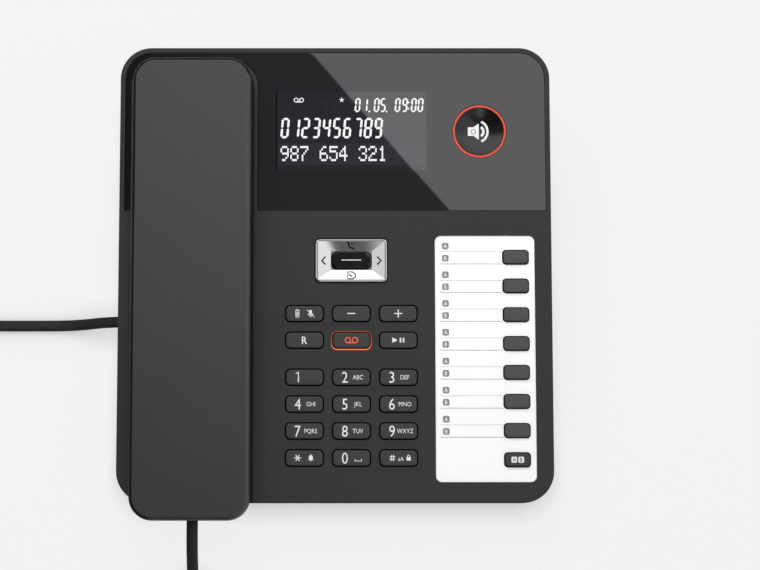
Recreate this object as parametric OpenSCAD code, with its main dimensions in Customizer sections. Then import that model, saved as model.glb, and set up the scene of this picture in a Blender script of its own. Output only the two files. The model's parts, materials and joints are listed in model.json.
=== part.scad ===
// Corded desk telephone with a built-in answering machine.
// The face of the body slopes down to the user. Everything on it is drawn in the face's own
// axes: x to the right, v up the slope, w out of the face, with the face's middle as origin.

/* [Body] */
// Width of the body
body_w = 208; // [200:1:230]
// Length of the face, measured along its slope
body_l = 220; // [216:1:240]
// Radius of the body's corners, seen from above
body_corner = 15; // [10:0.5:18]
// Slope of the face, in degrees
face_tilt = 8; // [6:0.5:10]
// Height of the face's front edge over the desk
front_h = 22; // [20:0.5:26]
// Thickness of the upper housing
slab_t = 14; // [13.8:0.1:16]
// Wall of the upper housing's sides
side_wall = 2.4; // [2:0.1:2.6]
// Wall of the face, which carries the keys
face_wall = 3.4; // [3.2:0.1:3.6]
// Rounding of the face's outer edge
edge_soft = 0.9; // [0.5:0.1:1.4]
// How far the sides draw in towards the slab's lower edge
under_cut = 2.4; // [1.6:0.1:2.4]

/* [Base] */
// Height of the rubber feet under the lower housing
foot_h = 1.5; // [1:0.1:2]
// Radius of a rubber foot
foot_r = 7; // [5:0.5:9]
// Depth of the pocket that holds a foot
foot_seat = 1; // [0.5:0.1:1.4]
// Wall of the lower housing
base_wall = 2.2; // [1.8:0.1:3]
// How far the base stands in from the body's sides
base_side = 6; // [5:0.5:12]
// How far the base stands in from the body's front edge
base_front = 13; // [10:0.5:20]
// How far the base stands in from the body's rear edge
base_rear = 4; // [3:0.5:8]
// Radius of the base's corners
base_corner = 11; // [6:0.5:14]

/* [Display panel] */
// Matte rim left round the glossy panel
panel_rim = 2.4; // [1.8:0.1:3]
// Thickness of the glossy panel
panel_t = 1.8; // [1.4:0.1:2]
// Front edge of the panel, in from the body's rear edge
panel_in = 80; // [76:0.5:84]
// Width of the display's lit area
lcd_w = 71.6; // [60:0.2:74]
// Height of the display's lit area
lcd_h = 38.8; // [30:0.2:40]
// Middle of the display, to the right of the middle of the keys
lcd_shift = 0.4; // [-2:0.1:2]
// Middle of the display, in from the body's rear edge
lcd_in = 41.1; // [38:0.1:44]
// Border of the display's glass round its lit area
lcd_border = 1.8; // [1:0.1:3]

/* [Speaker button] */
// Middle of the speaker button, in from the body's right edge
speaker_side = 34.2; // [30:0.1:36]
// Middle of the speaker button, in from the body's rear edge
speaker_in = 41.3; // [34:0.1:48]
// Outer radius of the light ring
ring_r = 12.8; // [11:0.1:14]
// Width of the light ring
ring_t = 0.85; // [0.6:0.05:1.4]
// Depth of the button's dish
dish_depth = 1.2; // [0.6:0.1:1.6]

/* [Keypad] */
// Width of a key
key_w = 18; // [14:0.1:18.6]
// Depth of a key, up the slope
key_d = 7.8; // [6:0.1:8.6]
// Radius of a key's corners
key_corner = 2.2; // [1.2:0.1:2.8]
// How far a key stands out of the face
key_proud = 0.7; // [0.4:0.1:1.2]
// Travel of a key
key_travel = 1.2; // [0.6:0.1:1.3]
// Gap between a key and its hole
key_gap = 0.35; // [0.25:0.05:0.45]
// Distance from one column of keys to the next
column_pitch = 22.4; // [21.4:0.1:23.4]
// Distance from one row of keys to the next
row_pitch = 12.8; // [11.8:0.1:13.2]
// Middle column, to the right of the middle between channel and label card
column_shift = 3.45; // [2:0.05:4.5]
// First row of function keys, from the middle of the rocker
function_drop = 25.6; // [24:0.1:27]
// First row of digit keys, from the first row of function keys
digit_drop = 30.5; // [29:0.1:32]
// Width of the light outline round the message key
halo_t = 0.4; // [0.3:0.05:0.5]

/* [Rocker] */
// Width of the navigation rocker
rocker_w = 34.4; // [30:0.1:35]
// Depth of the navigation rocker
rocker_d = 20.7; // [19:0.1:21]
// Middle of the rocker, from the panel's front edge
rocker_drop = 24.3; // [22:0.1:26]
// Thickness of the rocker plate
rocker_t = 2.6; // [2:0.1:2.8]
// Width of the centre key
centre_w = 19; // [16:0.1:19.4]
// Depth of the centre key
centre_d = 8.4; // [7:0.1:8.8]

/* [Label strip] */
// Width of the label card
label_w = 47.8; // [46:0.1:48]
// Length of the label card
label_l = 117.9; // [116:0.1:118.4]
// The card's right edge, in from the body's right edge
label_side = 8.3; // [7:0.1:9.5]
// The card's rear edge, from the panel's front edge
label_drop = 12.25; // [11:0.05:14]
// Radius of the card's corners
label_corner = 2.9; // [2:0.1:4]
// Thickness of the card
card_t = 0.3; // [0.2:0.05:0.4]
// Thickness of the clear sheet over the card
sheet_t = 0.4; // [0.3:0.05:0.6]
// Width of a memory key
memory_w = 12.2; // [10:0.1:12.6]
// Depth of a memory key
memory_d = 6.6; // [5.4:0.1:7.4]
// The memory keys' right edge, in from the card's right edge
memory_side = 3; // [2:0.1:4]
// Middle of the first memory key, in from the card's rear edge
memory_in = 10.4; // [8:0.05:12]
// Distance from one memory key to the next
memory_pitch = 13.85; // [13:0.05:13.9]

/* [Cradle] */
// Width of the handset channel
channel_w = 58; // [57:0.1:60]
// The channel's left edge, in from the body's left edge
channel_side = 6.8; // [6:0.1:8]
// Depth of the channel
channel_depth = 5; // [4.2:0.1:5.6]
// Depth of the two wells that take the handset's cups
well_depth = 10; // [9:0.1:10.4]
// Width of the wells
well_w = 50; // [46:0.5:51]
// Length of a well
well_l = 44; // [40:0.5:45]
// Middle of the ear well, in from the handset's rear end
ear_in = 26.6; // [24:0.1:28]
// Middle of the mouth well, in from the handset's front end
mouth_in = 37.4; // [35:0.1:40]

/* [Handset] */
// Width of the handset
handset_w = 56.6; // [54:0.1:57]
// Length of the handset
handset_l = 220; // [216:0.5:221]
// Rear end of the handset, in from the body's rear edge
handset_in = 8.4; // [7:0.1:10]
// Radius of the handset's corners
handset_corner = 11; // [8:0.5:12]
// Height of the handset's back over the face
handset_top = 17; // [15:0.5:20]
// Height of the joint between the handset's two shells over the face
handset_joint = 6; // [6:0.5:8]
// Width of the bevel round the handset's back
handset_bevel = 1.4; // [0.8:0.1:2]
// Wall of the handset's shells
handset_wall = 2; // [1.6:0.1:2.2]
// Gap between a cup of the handset and its well
cup_gap = 0.7; // [0.5:0.1:1]
// Room between the grip's underside and the channel's floor
grip_gap = 1.5; // [1:0.1:2]
// Rise of the hook plunger when the handset is lifted
hook_travel = 3; // [2:0.25:3.5]

/* [Cord] */
// Width of the flat cord
cord_w = 5.4; // [5:0.1:5.5]
// Thickness of the flat cord
cord_t = 2.8; // [2.4:0.1:3]
// Mean diameter of a curl
curl_d = 9.4; // [9:0.1:9.6]
// Distance from one curl to the next, along the row
curl_pitch = 7; // [6.9:0.05:7.2]
// Number of curls
curls = 27; // [20:1:27]

/* [Hidden] */
$fn = 48;

eps = 0.01;                       // overlap of a cut with the air beyond a face
far = 400;                        // longer than the whole object

// Colours of the finishes
matte_black = [0.20, 0.20, 0.20];
soft_black = [0.24, 0.24, 0.24];
gloss_black = [0.07, 0.07, 0.08];
rubber_black = [0.10, 0.10, 0.10];
signal_red = [0.89, 0.33, 0.23];
chrome = [0.80, 0.80, 0.82];
steel = [0.62, 0.62, 0.64];
card_white = [0.96, 0.96, 0.96];
board_green = [0.10, 0.32, 0.20];
part_grey = [0.45, 0.46, 0.48];

// Place of the face: its middle over the desk, and the whole object's middle along y
handset_over = handset_in + handset_l - body_l;     // how far the handset overhangs the body
slab_belt = 4;                    // height over the slab's lower edge where its sides draw in
cover_belt = 3.4;                 // depth under the handset's back where its bevel starts
face_z = front_h + body_l / 2 * sin(face_tilt);
face_y = (handset_over * cos(face_tilt)
          + (handset_top - cover_belt - slab_t + slab_belt) * sin(face_tilt)) / 2;

// Heights of the layers under the face
floor_z = foot_h + base_wall;     // inner floor of the lower housing, over the desk
flange_t = 1;                     // flange that keeps a key under the face
flange_lip = 0.7;                 // how far that flange reaches past the key
mat_t = 0.8;                      // sheet of the rubber key mat
dome_h = 0.8;                     // dome of the mat under a key
dome_gap = 0.2;                   // room left under a pressed key
board_t = 1.6;                    // main board
mat_top = -face_wall - flange_t - key_travel - dome_gap - dome_h;
board_top = mat_top - mat_t;
board_bottom = board_top - board_t;
skin = 2;                         // skin of the channel and the wells
deck_t = 1.6;                     // plate of the lower housing that closes the slab
fit = 0.3;                        // gap between pieces that are laid into each other
snug = 0.1;                       // gap round a piece that is pressed in and stays

// Places on the face
handset_v = body_l / 2 - handset_in - handset_l / 2;
ear_v = handset_v + handset_l / 2 - ear_in;
mouth_v = handset_v - handset_l / 2 + mouth_in;
channel_x = -body_w / 2 + channel_side + channel_w / 2;
label_x = body_w / 2 - label_side - label_w / 2;
column_x = (channel_x + channel_w / 2 + label_x - label_w / 2) / 2 + column_shift;
rocker_x = column_x;
lcd_x = column_x + lcd_shift;
lcd_v = body_l / 2 - lcd_in;
speaker_x = body_w / 2 - speaker_side;
speaker_v = body_l / 2 - speaker_in;
panel_front = body_l / 2 - panel_in;
rocker_v = panel_front - rocker_drop;
function_v = rocker_v - function_drop;
digit_v = function_v - digit_drop;
label_v = panel_front - label_drop - label_l / 2;
memory_x = label_x + label_w / 2 - memory_side - memory_w / 2;
memory_v = label_v + label_l / 2 - memory_in;

// Channel and wells
channel_left = channel_x - channel_w / 2;
channel_right = channel_x + channel_w / 2;
channel_rear = handset_l / 2 + handset_v + cup_gap;
channel_corner = handset_corner + cup_gap;
well_corner = 10;
matte_strip = 1.9;                // matte strip of the housing between channel and panel
strip_left = 1.4;                 // the same strip on the channel's outer side

// Rocker and its gimbal
rocker_gap = 0.4;
rocker_corner = 1.7;
rocker_proud = 1;
gimbal_w = -4.6;                  // height of both tipping axes, from the face
gimbal_t = 1.6;
gimbal_bar = 1.8;
gimbal_pin_r = 0.55;
gimbal_bore_r = 0.62;
gimbal_lug = 1.5;                 // half width of a lug
lug_t = 1.8;
centre_gap = 0.35;
centre_corner = 2;
centre_travel = 1;
centre_proud = 0.5;               // over the rocker plate

// Speaker button
speaker_gap = 0.2;
button_r = ring_r - ring_t - speaker_gap;

module_rim = 2;                   // rim of the display module's box round its glass

// Screws and posts: [x, v]
screw_r = 1.5;
screw_play = 0.05;                // a screw's thread in its pilot hole
head_r = 2.8;
head_h = 2;
boss_r = 3.4;
screw_seat = 5.5;                 // head's seat under the lower housing's deck
board_screw_r = 1;
board_head_r = 1.9;
board_head_h = 1.2;
post_r = 2.6;
inner_x = channel_right + skin + boss_r + 1.2;
outer_x = body_w / 2 - base_side - base_wall - boss_r - 4;
front_v = -body_l / 2 + base_front + base_wall + boss_r + 3;
screw_v = lcd_v - lcd_h / 2 - lcd_border - module_rim - boss_r - 6.3;
post_x = column_x + column_pitch + key_w / 2 + flange_lip + post_r + 1;
SCREWS = [[inner_x, front_v], [post_x + 16, front_v], [inner_x, screw_v], [outer_x, screw_v],
          [channel_x - 18, 0], [channel_x + 18, 0]];
POSTS = [[post_x, digit_v + row_pitch], [post_x, digit_v - 2.5 * row_pitch],
         [rocker_x - rocker_w / 2 - 2 * post_r - 4, rocker_v], [post_x + 12, panel_front],
         [post_x + 12, lcd_v + lcd_h / 2 + 6]];

// Keys: column, row and name of each
FUNCTION_KEYS = [[-1, 0], [0, 0], [1, 0], [-1, 1], [0, 1], [1, 1]];
DIGIT_KEYS = [for (row = [0:3], column = [-1:1]) [column, row]];
MEMORY_ROWS = [0:7];
message_key = [0, 1];

function function_spot(key) = [column_x + key[0] * column_pitch, function_v - key[1] * row_pitch];
function digit_spot(key) = [column_x + key[0] * column_pitch, digit_v - key[1] * row_pitch];
function memory_spot(row) = [memory_x, memory_v - row * memory_pitch];

// Draws its children in the face's axes
module on_face() {
  translate([0, face_y, face_z]) rotate([face_tilt, 0, 0]) children();
}

// Draws its children at one place of the face
module at(spot, w = 0) {
  translate([spot[0], spot[1], w]) children();
}

// Rectangle with round corners, about its middle
module rounded(w, d, r) {
  square([w - 2 * r, d], center = true);
  square([w, d - 2 * r], center = true);
  for (x = [-1, 1], y = [-1, 1]) translate([x * (w / 2 - r), y * (d / 2 - r)]) circle(r);
}

// Plate from height low to height high over an outline
module layer(low, high) {
  translate([0, 0, low]) linear_extrude(high - low) children();
}

// Body with round corners and a soft edge, hulled over bands: [[low, high, inset], ...]
module soft_body(w, d, r, bands) {
  hull() for (b = bands)
    layer(b[0], b[1])
      for (x = [-1, 1], y = [-1, 1])
        translate([x * (w / 2 - r), y * (d / 2 - r)]) circle(r - b[2]);
}

// The same for a cap whose upper edge is broken by soft
module cap(w, d, r, low, top, soft) {
  soft_body(w, d, r, [[low, top - soft, 0], [top - 0.4 * soft, top - 0.3 * soft, 0.3 * soft],
                      [top - 0.1 * soft, top, soft]], $fn = 24);
}

// Everything below a plane of the face
module below(w) {
  on_face() translate([-far / 2, -far / 2, w - far]) cube(far);
}

// Outline of the channel, which runs out over the body's front edge
module channel_outline(grow = 0) {
  length = channel_rear + body_l;
  translate([channel_x, channel_rear + grow - length / 2])
    rounded(channel_w + 2 * grow, length, channel_corner + grow);
}

module well_outline(grow = 0) {
  for (v = [ear_v, mouth_v]) translate([channel_x, v])
    rounded(well_w + 2 * grow, well_l + 2 * grow, well_corner + grow);
}

module panel_outline(inset = 0) {
  top = body_l / 2 - panel_rim - inset;
  low = panel_front + inset;
  r = body_corner - panel_rim - inset;
  difference() {
    translate([0, top - body_l / 2]) rounded(body_w - 2 * (panel_rim + inset), body_l, r);
    translate([-far / 2, low - far]) square(far);
    panel_notch(inset);
  }
}

// Part of the panel that is left open for the channel
module panel_notch(grow = 0) {
  left = channel_left - strip_left - grow;
  right = channel_right + matte_strip + grow;
  rear = channel_rear + strip_left + grow;
  translate([(left + right) / 2, rear - body_l / 2])
    rounded(right - left, body_l, channel_corner + strip_left);
}

module key_hole(w, d, r, gap) {
  layer(-face_wall - eps, eps) rounded(w + 2 * gap, d + 2 * gap, r + gap);
}

// ---------------------------------------------------------------- housings

module slab_form() {
  soft_body(body_w, body_l, body_corner,
            [[-0.04 * edge_soft, 0, edge_soft], [-0.16 * edge_soft, -0.12 * edge_soft, 0.5 * edge_soft],
             [-0.5 * edge_soft, -0.45 * edge_soft, 0.13 * edge_soft], [-slab_t + slab_belt, -edge_soft, 0],
             [-slab_t + 1.2, -slab_t + 1.3, 0.4 * under_cut], [-slab_t, -slab_t + 0.1, under_cut]]);
}

module slab_pocket() {
  layer(-slab_t - eps, -face_wall)
    rounded(body_w - 2 * side_wall, body_l - 2 * side_wall, body_corner - side_wall);
}

module cradle_skin() {
  intersection() {
    slab_form();
    union() {
      layer(-channel_depth - skin, -eps) channel_outline(skin);
      layer(-well_depth - skin, -eps) well_outline(skin);
    }
  }
}

module gimbal_lugs() {
  for (x = [-1, 1]) translate([rocker_x + x * (rocker_w / 2 + rocker_gap + lug_t / 2), rocker_v])
    layer(gimbal_w - gimbal_lug, -face_wall + eps)
      square([lug_t, 2 * gimbal_lug], center = true);
}

module housing_upper() {
  color(matte_black) on_face() difference() {
    union() {
      difference() {
        slab_form();
        slab_pocket();
      }
      cradle_skin();
      gimbal_lugs();
      for (s = SCREWS) at(s, -slab_t + deck_t) cylinder(r = boss_r, h = slab_t - deck_t - face_wall + eps);
      for (p = POSTS) at(p, board_top) cylinder(r = post_r, h = -face_wall - board_top + eps);
    }
    layer(-channel_depth, eps) channel_outline();
    layer(-well_depth, eps) well_outline();
    layer(-panel_t, eps) panel_outline();
    face_holes();
    for (s = SCREWS) at(s, -slab_t) cylinder(r = screw_r + screw_play, h = slab_t - channel_depth - skin - 1);
    for (p = POSTS) at(p, board_top - eps) cylinder(r = board_screw_r + screw_play, h = 3);
    rocker_bore();
  }
}

// Bores of the gimbal's outer pins, through both lugs
module rocker_bore() {
  translate([rocker_x, rocker_v, gimbal_w]) rotate([0, 90, 0])
    cylinder(r = gimbal_bore_r, h = rocker_w + 2 * rocker_gap + 2 * lug_t + 1, center = true);
}

module face_holes() {
  for (k = FUNCTION_KEYS) at(function_spot(k))
    key_hole(key_w, key_d, key_corner, k == message_key ? key_gap + halo_t : key_gap);
  for (k = DIGIT_KEYS) at(digit_spot(k)) key_hole(key_w, key_d, key_corner, key_gap);
  for (r = MEMORY_ROWS) at(memory_spot(r)) key_hole(memory_w, memory_d, memory_corner, key_gap);
  at([label_x, label_v]) layer(-card_t - sheet_t, eps)
    rounded(label_w + 2 * snug, label_l + 2 * snug, label_corner + snug);
  at([rocker_x, rocker_v]) key_hole(rocker_w, rocker_d, rocker_corner, rocker_gap);
  at([speaker_x, speaker_v], -face_wall - eps) cylinder(r = ring_r + snug, h = face_wall + 1);
  at([lcd_x, lcd_v]) layer(-face_wall - eps, 0)
    square([lcd_w + 2 * lcd_border + 2 * fit, lcd_h + 2 * lcd_border + 2 * fit], center = true);
  at([channel_x, hook_v]) layer(-channel_depth - skin - eps, 0)
    rounded(hook_w + 2 * fit, hook_d + 2 * fit, hook_corner + fit);
}

// Outline of the base, seen from above, drawn in by inset
module base_outline(inset = 0) {
  low = face_y - (body_l / 2 - base_front) * cos(face_tilt) + inset;
  high = face_y + (body_l / 2 - base_rear) * cos(face_tilt) - inset;
  translate([0, (low + high) / 2])
    rounded(body_w - 2 * base_side - 2 * inset, high - low, base_corner - inset);
}

base_left = -body_w / 2 + base_side;                                   // outer face of the left wall
base_back = face_y + (body_l / 2 - base_rear) * cos(face_tilt);        // outer face of the rear wall
foot_x = body_w / 2 - base_side - foot_r - 5;
foot_front = face_y - (body_l / 2 - base_front) * cos(face_tilt) + foot_r + 5;
foot_back = base_back - foot_r - 5;

module base_form() {
  intersection() {
    layer(foot_h, far / 2) base_outline();
    below(-slab_t + eps);
  }
}

module deck_plate() {
  on_face() layer(-slab_t, -slab_t + deck_t)
    rounded(body_w - 2 * side_wall - 2 * snug, body_l - 2 * side_wall - 2 * snug,
            body_corner - side_wall - snug);
}

module housing_lower() {
  color(matte_black) difference() {
    union() {
      difference() {
        union() {
          base_form();
          deck_plate();
        }
        layer(floor_z, far / 2) base_outline(base_wall);
      }
      intersection() {
        on_face() for (s = SCREWS) at(s, -far / 2) cylinder(r = boss_r + 1, h = far / 2 - slab_t + deck_t);
        layer(foot_h, far / 2) base_outline();
      }
      hook_tower();
    }
    on_face() for (s = SCREWS) {
      at(s, -far / 2) cylinder(r = head_r + fit, h = far / 2 - slab_t - screw_seat);
      at(s, -slab_t - screw_seat - eps) cylinder(r = screw_r + 0.2, h = screw_seat + deck_t + 1);
    }
    for (x = [-foot_x, foot_x], y = [foot_front, foot_back])
      translate([x, y, 0]) cylinder(r = foot_r + snug, h = foot_h + foot_seat);
    loudspeaker_grille();
    jack_openings();
  }
}

module rubber_feet() {
  color(rubber_black)
    for (x = [-foot_x, foot_x], y = [foot_front, foot_back])
      translate([x, y, 0]) cylinder(r = foot_r, h = foot_h + foot_seat);
}

module housing_screws() {
  color(steel) on_face() for (s = SCREWS) {
    at(s, -slab_t - screw_seat - head_h) difference() {
      cylinder(r = head_r, h = head_h);
      translate([0, 0, -eps]) cylinder(r = 1.2, h = 1.2, $fn = 6);
    }
    at(s, -slab_t - screw_seat - eps) cylinder(r = screw_r, h = screw_seat + slab_t - face_wall - 5.4);
  }
}

// ---------------------------------------------------------------- display panel

module display_panel() {
  color(gloss_black) on_face() difference() {
    layer(-panel_t, 0) panel_outline(snug);
    at([speaker_x, speaker_v], -panel_t - eps) cylinder(r = ring_r + snug, h = panel_t + 1);
  }
}

module display_module() {
  color(part_grey) on_face() at([lcd_x, lcd_v]) {
    layer(-face_wall, -panel_t)
      square([lcd_w + 2 * lcd_border, lcd_h + 2 * lcd_border], center = true);
    layer(board_top, -face_wall)
      square([lcd_w + 2 * (lcd_border + module_rim), lcd_h + 2 * (lcd_border + module_rim)], center = true);
  }
}

// ---------------------------------------------------------------- speaker button

module speaker_ring() {
  color(signal_red) on_face() at([speaker_x, speaker_v], -face_wall) difference() {
    cylinder(r = ring_r, h = face_wall + 0.2);
    translate([0, 0, -eps]) cylinder(r = ring_r - ring_t, h = face_wall + 1);
  }
}

module speaker_button() {
  dish_r = button_r - 0.6;
  ball_r = (dish_r * dish_r + dish_depth * dish_depth) / (2 * dish_depth);
  color(gloss_black) on_face() at([speaker_x, speaker_v]) difference() {
    union() {
      translate([0, 0, -face_wall - flange_t]) cylinder(r = ring_r + flange_lip, h = flange_t);
      translate([0, 0, -face_wall]) cylinder(r = button_r, h = face_wall + 0.3);
    }
    translate([0, 0, 0.3 - dish_depth + ball_r]) sphere(r = ball_r, $fn = 96);
  }
}

// ---------------------------------------------------------------- keys

memory_corner = 1.6;
key_soft = 0.45;                  // rounding of a key's upper edge
rocker_soft = 0.6;                // rounding of the rocker's upper edge

// A key: cap with a softly broken edge over a flange that stays under the face
module key(w, d, r) {
  layer(-face_wall - flange_t, -face_wall)
    rounded(w + 2 * flange_lip, d + 2 * flange_lip, r + flange_lip);
  cap(w, d, r, -face_wall - eps, key_proud, key_soft);
}

module function_key(k) { color(soft_black) on_face() at(function_spot(k)) key(key_w, key_d, key_corner); }
module digit_key(k) { color(soft_black) on_face() at(digit_spot(k)) key(key_w, key_d, key_corner); }
module memory_key(r) { color(soft_black) on_face() at(memory_spot(r)) key(memory_w, memory_d, memory_corner); }

// Light outline in the message key's hole, which is wider by its width
module message_halo() {
  color(signal_red) on_face() at(function_spot(message_key)) difference() {
    layer(-face_wall, 0.1)
      rounded(key_w + 2 * (key_gap + halo_t - snug), key_d + 2 * (key_gap + halo_t - snug),
              key_corner + key_gap + halo_t - snug);
    layer(-face_wall - eps, 1)
      rounded(key_w + 2 * (key_gap - snug), key_d + 2 * (key_gap - snug), key_corner + key_gap - snug);
  }
}

// ---------------------------------------------------------------- rocker

module rocker_plate() {
  color(chrome) on_face() at([rocker_x, rocker_v]) difference() {
    union() {
      cap(rocker_w, rocker_d, rocker_corner, rocker_proud - rocker_t, rocker_proud, rocker_soft);
      for (v = [-1, 1]) translate([0, v * (rocker_d / 2 - lug_t / 2 - 0.3)])
        layer(gimbal_w - gimbal_lug, rocker_proud - rocker_t + eps)
          square([2 * gimbal_lug, lug_t], center = true);
    }
    layer(rocker_proud - rocker_t - eps, far)
      rounded(centre_w + 2 * centre_gap, centre_d + 2 * centre_gap, centre_corner + centre_gap);
    translate([0, 0, gimbal_w]) rotate([90, 0, 0])
      cylinder(r = gimbal_bore_r, h = rocker_d + 2, center = true);
  }
}

// Ring between housing and rocker plate: outer pins along x, inner pins along v
module rocker_gimbal() {
  ring_w = rocker_w - 2;
  ring_d = rocker_d - 2 * lug_t - 1.2;
  color(part_grey) on_face() at([rocker_x, rocker_v], gimbal_w) difference() {
    union() {
      layer(-gimbal_t / 2, gimbal_t / 2) rounded(ring_w, ring_d, 1.5);
      rotate([0, 90, 0]) cylinder(r = gimbal_pin_r, h = rocker_w + 2 * rocker_gap + 2 * lug_t, center = true);
      rotate([90, 0, 0]) cylinder(r = gimbal_pin_r, h = rocker_d - 0.6, center = true);
    }
    layer(-gimbal_t, gimbal_t) rounded(ring_w - 2 * gimbal_bar, ring_d - 2 * gimbal_bar, 1);
  }
}

module centre_key() {
  top = rocker_proud + centre_proud;
  under = rocker_proud - rocker_t;
  color(gloss_black) on_face() at([rocker_x, rocker_v]) {
    layer(under - 0.8, under) rounded(centre_w + 1.6, centre_d + 1.6, centre_corner);
    cap(centre_w, centre_d, centre_corner, under - eps, top, key_soft);
  }
}

// ---------------------------------------------------------------- label strip

module label_layer(low, high, clear) {
  difference() {
    at([label_x, label_v]) layer(low, high) rounded(label_w, label_l, label_corner);
    for (r = MEMORY_ROWS) at(memory_spot(r)) layer(-1, 1)
      rounded(memory_w + 2 * clear, memory_d + 2 * clear, memory_corner + clear);
  }
}

module label_card() {
  color(card_white) on_face() label_layer(-card_t - sheet_t, -sheet_t, key_gap);
}

module label_sheet() {
  color([0.95, 0.95, 0.97, 0.3]) on_face() label_layer(-sheet_t, 0, key_gap);
}

// ---------------------------------------------------------------- inside the body

mat_left = column_x - 1.5 * column_pitch - 3;
mat_right = memory_x + memory_w / 2 + 4;
mat_front = memory_v - 7 * memory_pitch - memory_d / 2 - 3;
mat_rear = rocker_v + rocker_d / 2 + 4;

module key_mat() {
  color(rubber_black) on_face() difference() {
    union() {
      layer(board_top, mat_top) translate([mat_left, mat_front])
        square([mat_right - mat_left, mat_rear - mat_front]);
      for (s = dome_spots()) at(s, mat_top - eps) cylinder(r1 = 3, r2 = 2.2, h = dome_h + eps);
    }
    for (p = POSTS) at(p, board_top - 1) cylinder(r = post_r + fit, h = 5);
    for (s = SCREWS) at(s, board_top - 1) cylinder(r = boss_r + fit, h = 5);
  }
}

function dome_spots() = concat([for (k = FUNCTION_KEYS) function_spot(k)],
                               [for (k = DIGIT_KEYS) digit_spot(k)],
                               [for (r = MEMORY_ROWS) memory_spot(r)],
                               [[rocker_x, rocker_v]]);

module main_board() {
  left = channel_right + skin + 1;
  right = body_w / 2 - side_wall - 1;
  rear = body_l / 2 - side_wall - 3;
  color(board_green) on_face() difference() {
    layer(board_bottom, board_top) translate([(left + right) / 2, (rear + mat_front) / 2])
      rounded(right - left, rear - mat_front, body_corner - side_wall - 2);
    for (s = SCREWS) at(s, board_bottom - 1) cylinder(r = boss_r + fit, h = board_t + 2);
    for (p = POSTS) at(p, board_bottom - 1) cylinder(r = board_screw_r + 0.1, h = board_t + 2);
  }
}

module board_screws() {
  color(steel) on_face() for (p = POSTS) {
    at(p, board_bottom - board_head_h) cylinder(r = board_head_r, h = board_head_h);
    at(p, board_bottom - eps) cylinder(r = board_screw_r, h = board_t + 2.6);
  }
}

// Loudspeaker on the floor of the base, facing down through the grille
speaker_cone_r = 26;
speaker_rim = 3;
rim_h = 3;
cone_t = 0.8;
dish_floor_r = 12;
basket_h = 6;
magnet_r = 14;
magnet_h = 6;
speaker_box_x = column_x + 32.2;
speaker_box_y = base_back - 69.4;
grille_hole_r = 1.2;
grille_pitch = 4.4;

module loudspeaker() {
  inside_r = speaker_cone_r - speaker_rim;
  color(part_grey) translate([speaker_box_x, speaker_box_y, floor_z]) {
    difference() {
      cylinder(r = speaker_cone_r, h = rim_h);
      translate([0, 0, -eps]) cylinder(r1 = inside_r, r2 = dish_floor_r, h = rim_h - cone_t);
    }
    translate([0, 0, rim_h - eps]) cylinder(r1 = inside_r, r2 = magnet_r, h = basket_h);
    translate([0, 0, rim_h + basket_h - 2 * eps]) cylinder(r = magnet_r, h = magnet_h);
  }
}

module loudspeaker_grille() {
  rings = 4;
  translate([speaker_box_x, speaker_box_y, foot_h - 1]) {
    cylinder(r = grille_hole_r, h = base_wall + 2);
    for (i = [1:rings], a = [0:1:6 * i - 1]) rotate(a * 60 / i) translate([i * grille_pitch, 0])
      cylinder(r = grille_hole_r, h = base_wall + 2);
  }
}

// Hook plunger in the channel's floor, its switch and the tower that carries the switch
hook_v = handset_v + 50.4;
hook_w = 9;
hook_d = 6;
hook_corner = 1.5;
hook_flange = 1.5;
hook_lip = 1.2;
hook_top = -channel_depth + grip_gap - fit;
hook_bottom = -channel_depth - skin - hook_travel - hook_flange;
switch_h = 5;

module hook_plunger() {
  color(matte_black) on_face() at([channel_x, hook_v]) {
    layer(hook_bottom, hook_bottom + hook_flange)
      rounded(hook_w + 2 * hook_lip, hook_d + 2 * hook_lip, hook_corner);
    layer(hook_bottom + hook_flange - eps, hook_top) rounded(hook_w, hook_d, hook_corner);
  }
}

module hook_switch() {
  color(part_grey) on_face() at([channel_x, hook_v])
    layer(hook_bottom - fit - switch_h, hook_bottom - fit) square([14, 10], center = true);
}

module hook_tower() {
  spot_y = face_y + hook_v * cos(face_tilt) - (hook_bottom - switch_h) * sin(face_tilt);
  intersection() {
    translate([channel_x, spot_y, foot_h]) cylinder(r = 4.5, h = far / 2);
    below(hook_bottom - fit - switch_h);
  }
}

// ---------------------------------------------------------------- jacks

jack_w = 13;
jack_h = 12;
socket_depth = 15;                // of a block behind the wall that it stands at
port_depth = 11;                  // of its opening, from the same wall's inner face
jack_depth = socket_depth + base_wall;
jack_port_depth = port_depth + base_wall;
port_w = 9.8;                     // opening for the line plug
port_h = 7;
small_port_w = 7.9;               // opening for the handset cord's plug and for the supply's
small_port_h = 6.6;
port_z = floor_z + jack_h / 2;
line_x = body_w / 2 - 42;
power_x = body_w / 2 - 24;
cord_y = -13.4;                   // where the cord enters the base's left wall

// A jack's block, its mouth facing along -y and its mouth's middle at the origin
module jack_block(w, h, depth) {
  translate([-w / 2, 0, -h / 2]) cube([w, depth, h]);
}

module at_back(x) { translate([x, base_back, port_z]) rotate([0, 0, 180]) children(); }
module at_left() { translate([base_left, cord_y, port_z]) rotate([0, 0, -90]) children(); }

module line_jack() {
  color(part_grey) at_back(line_x) difference() {
    jack_block(jack_w, jack_h, jack_depth);
    translate([0, -eps, 0]) jack_block(port_w, port_h, jack_port_depth);
  }
}

module power_jack() {
  color(rubber_black) at_back(power_x) difference() {
    jack_block(jack_w, jack_h, jack_depth);
    translate([0, -eps, 0]) jack_block(small_port_w, small_port_h, jack_port_depth);
  }
}

module handset_jack() {
  color(part_grey) at_left() difference() {
    jack_block(jack_w, jack_h, jack_depth);
    translate([0, -eps, 0]) jack_block(small_port_w, small_port_h, jack_port_depth);
  }
}

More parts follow.
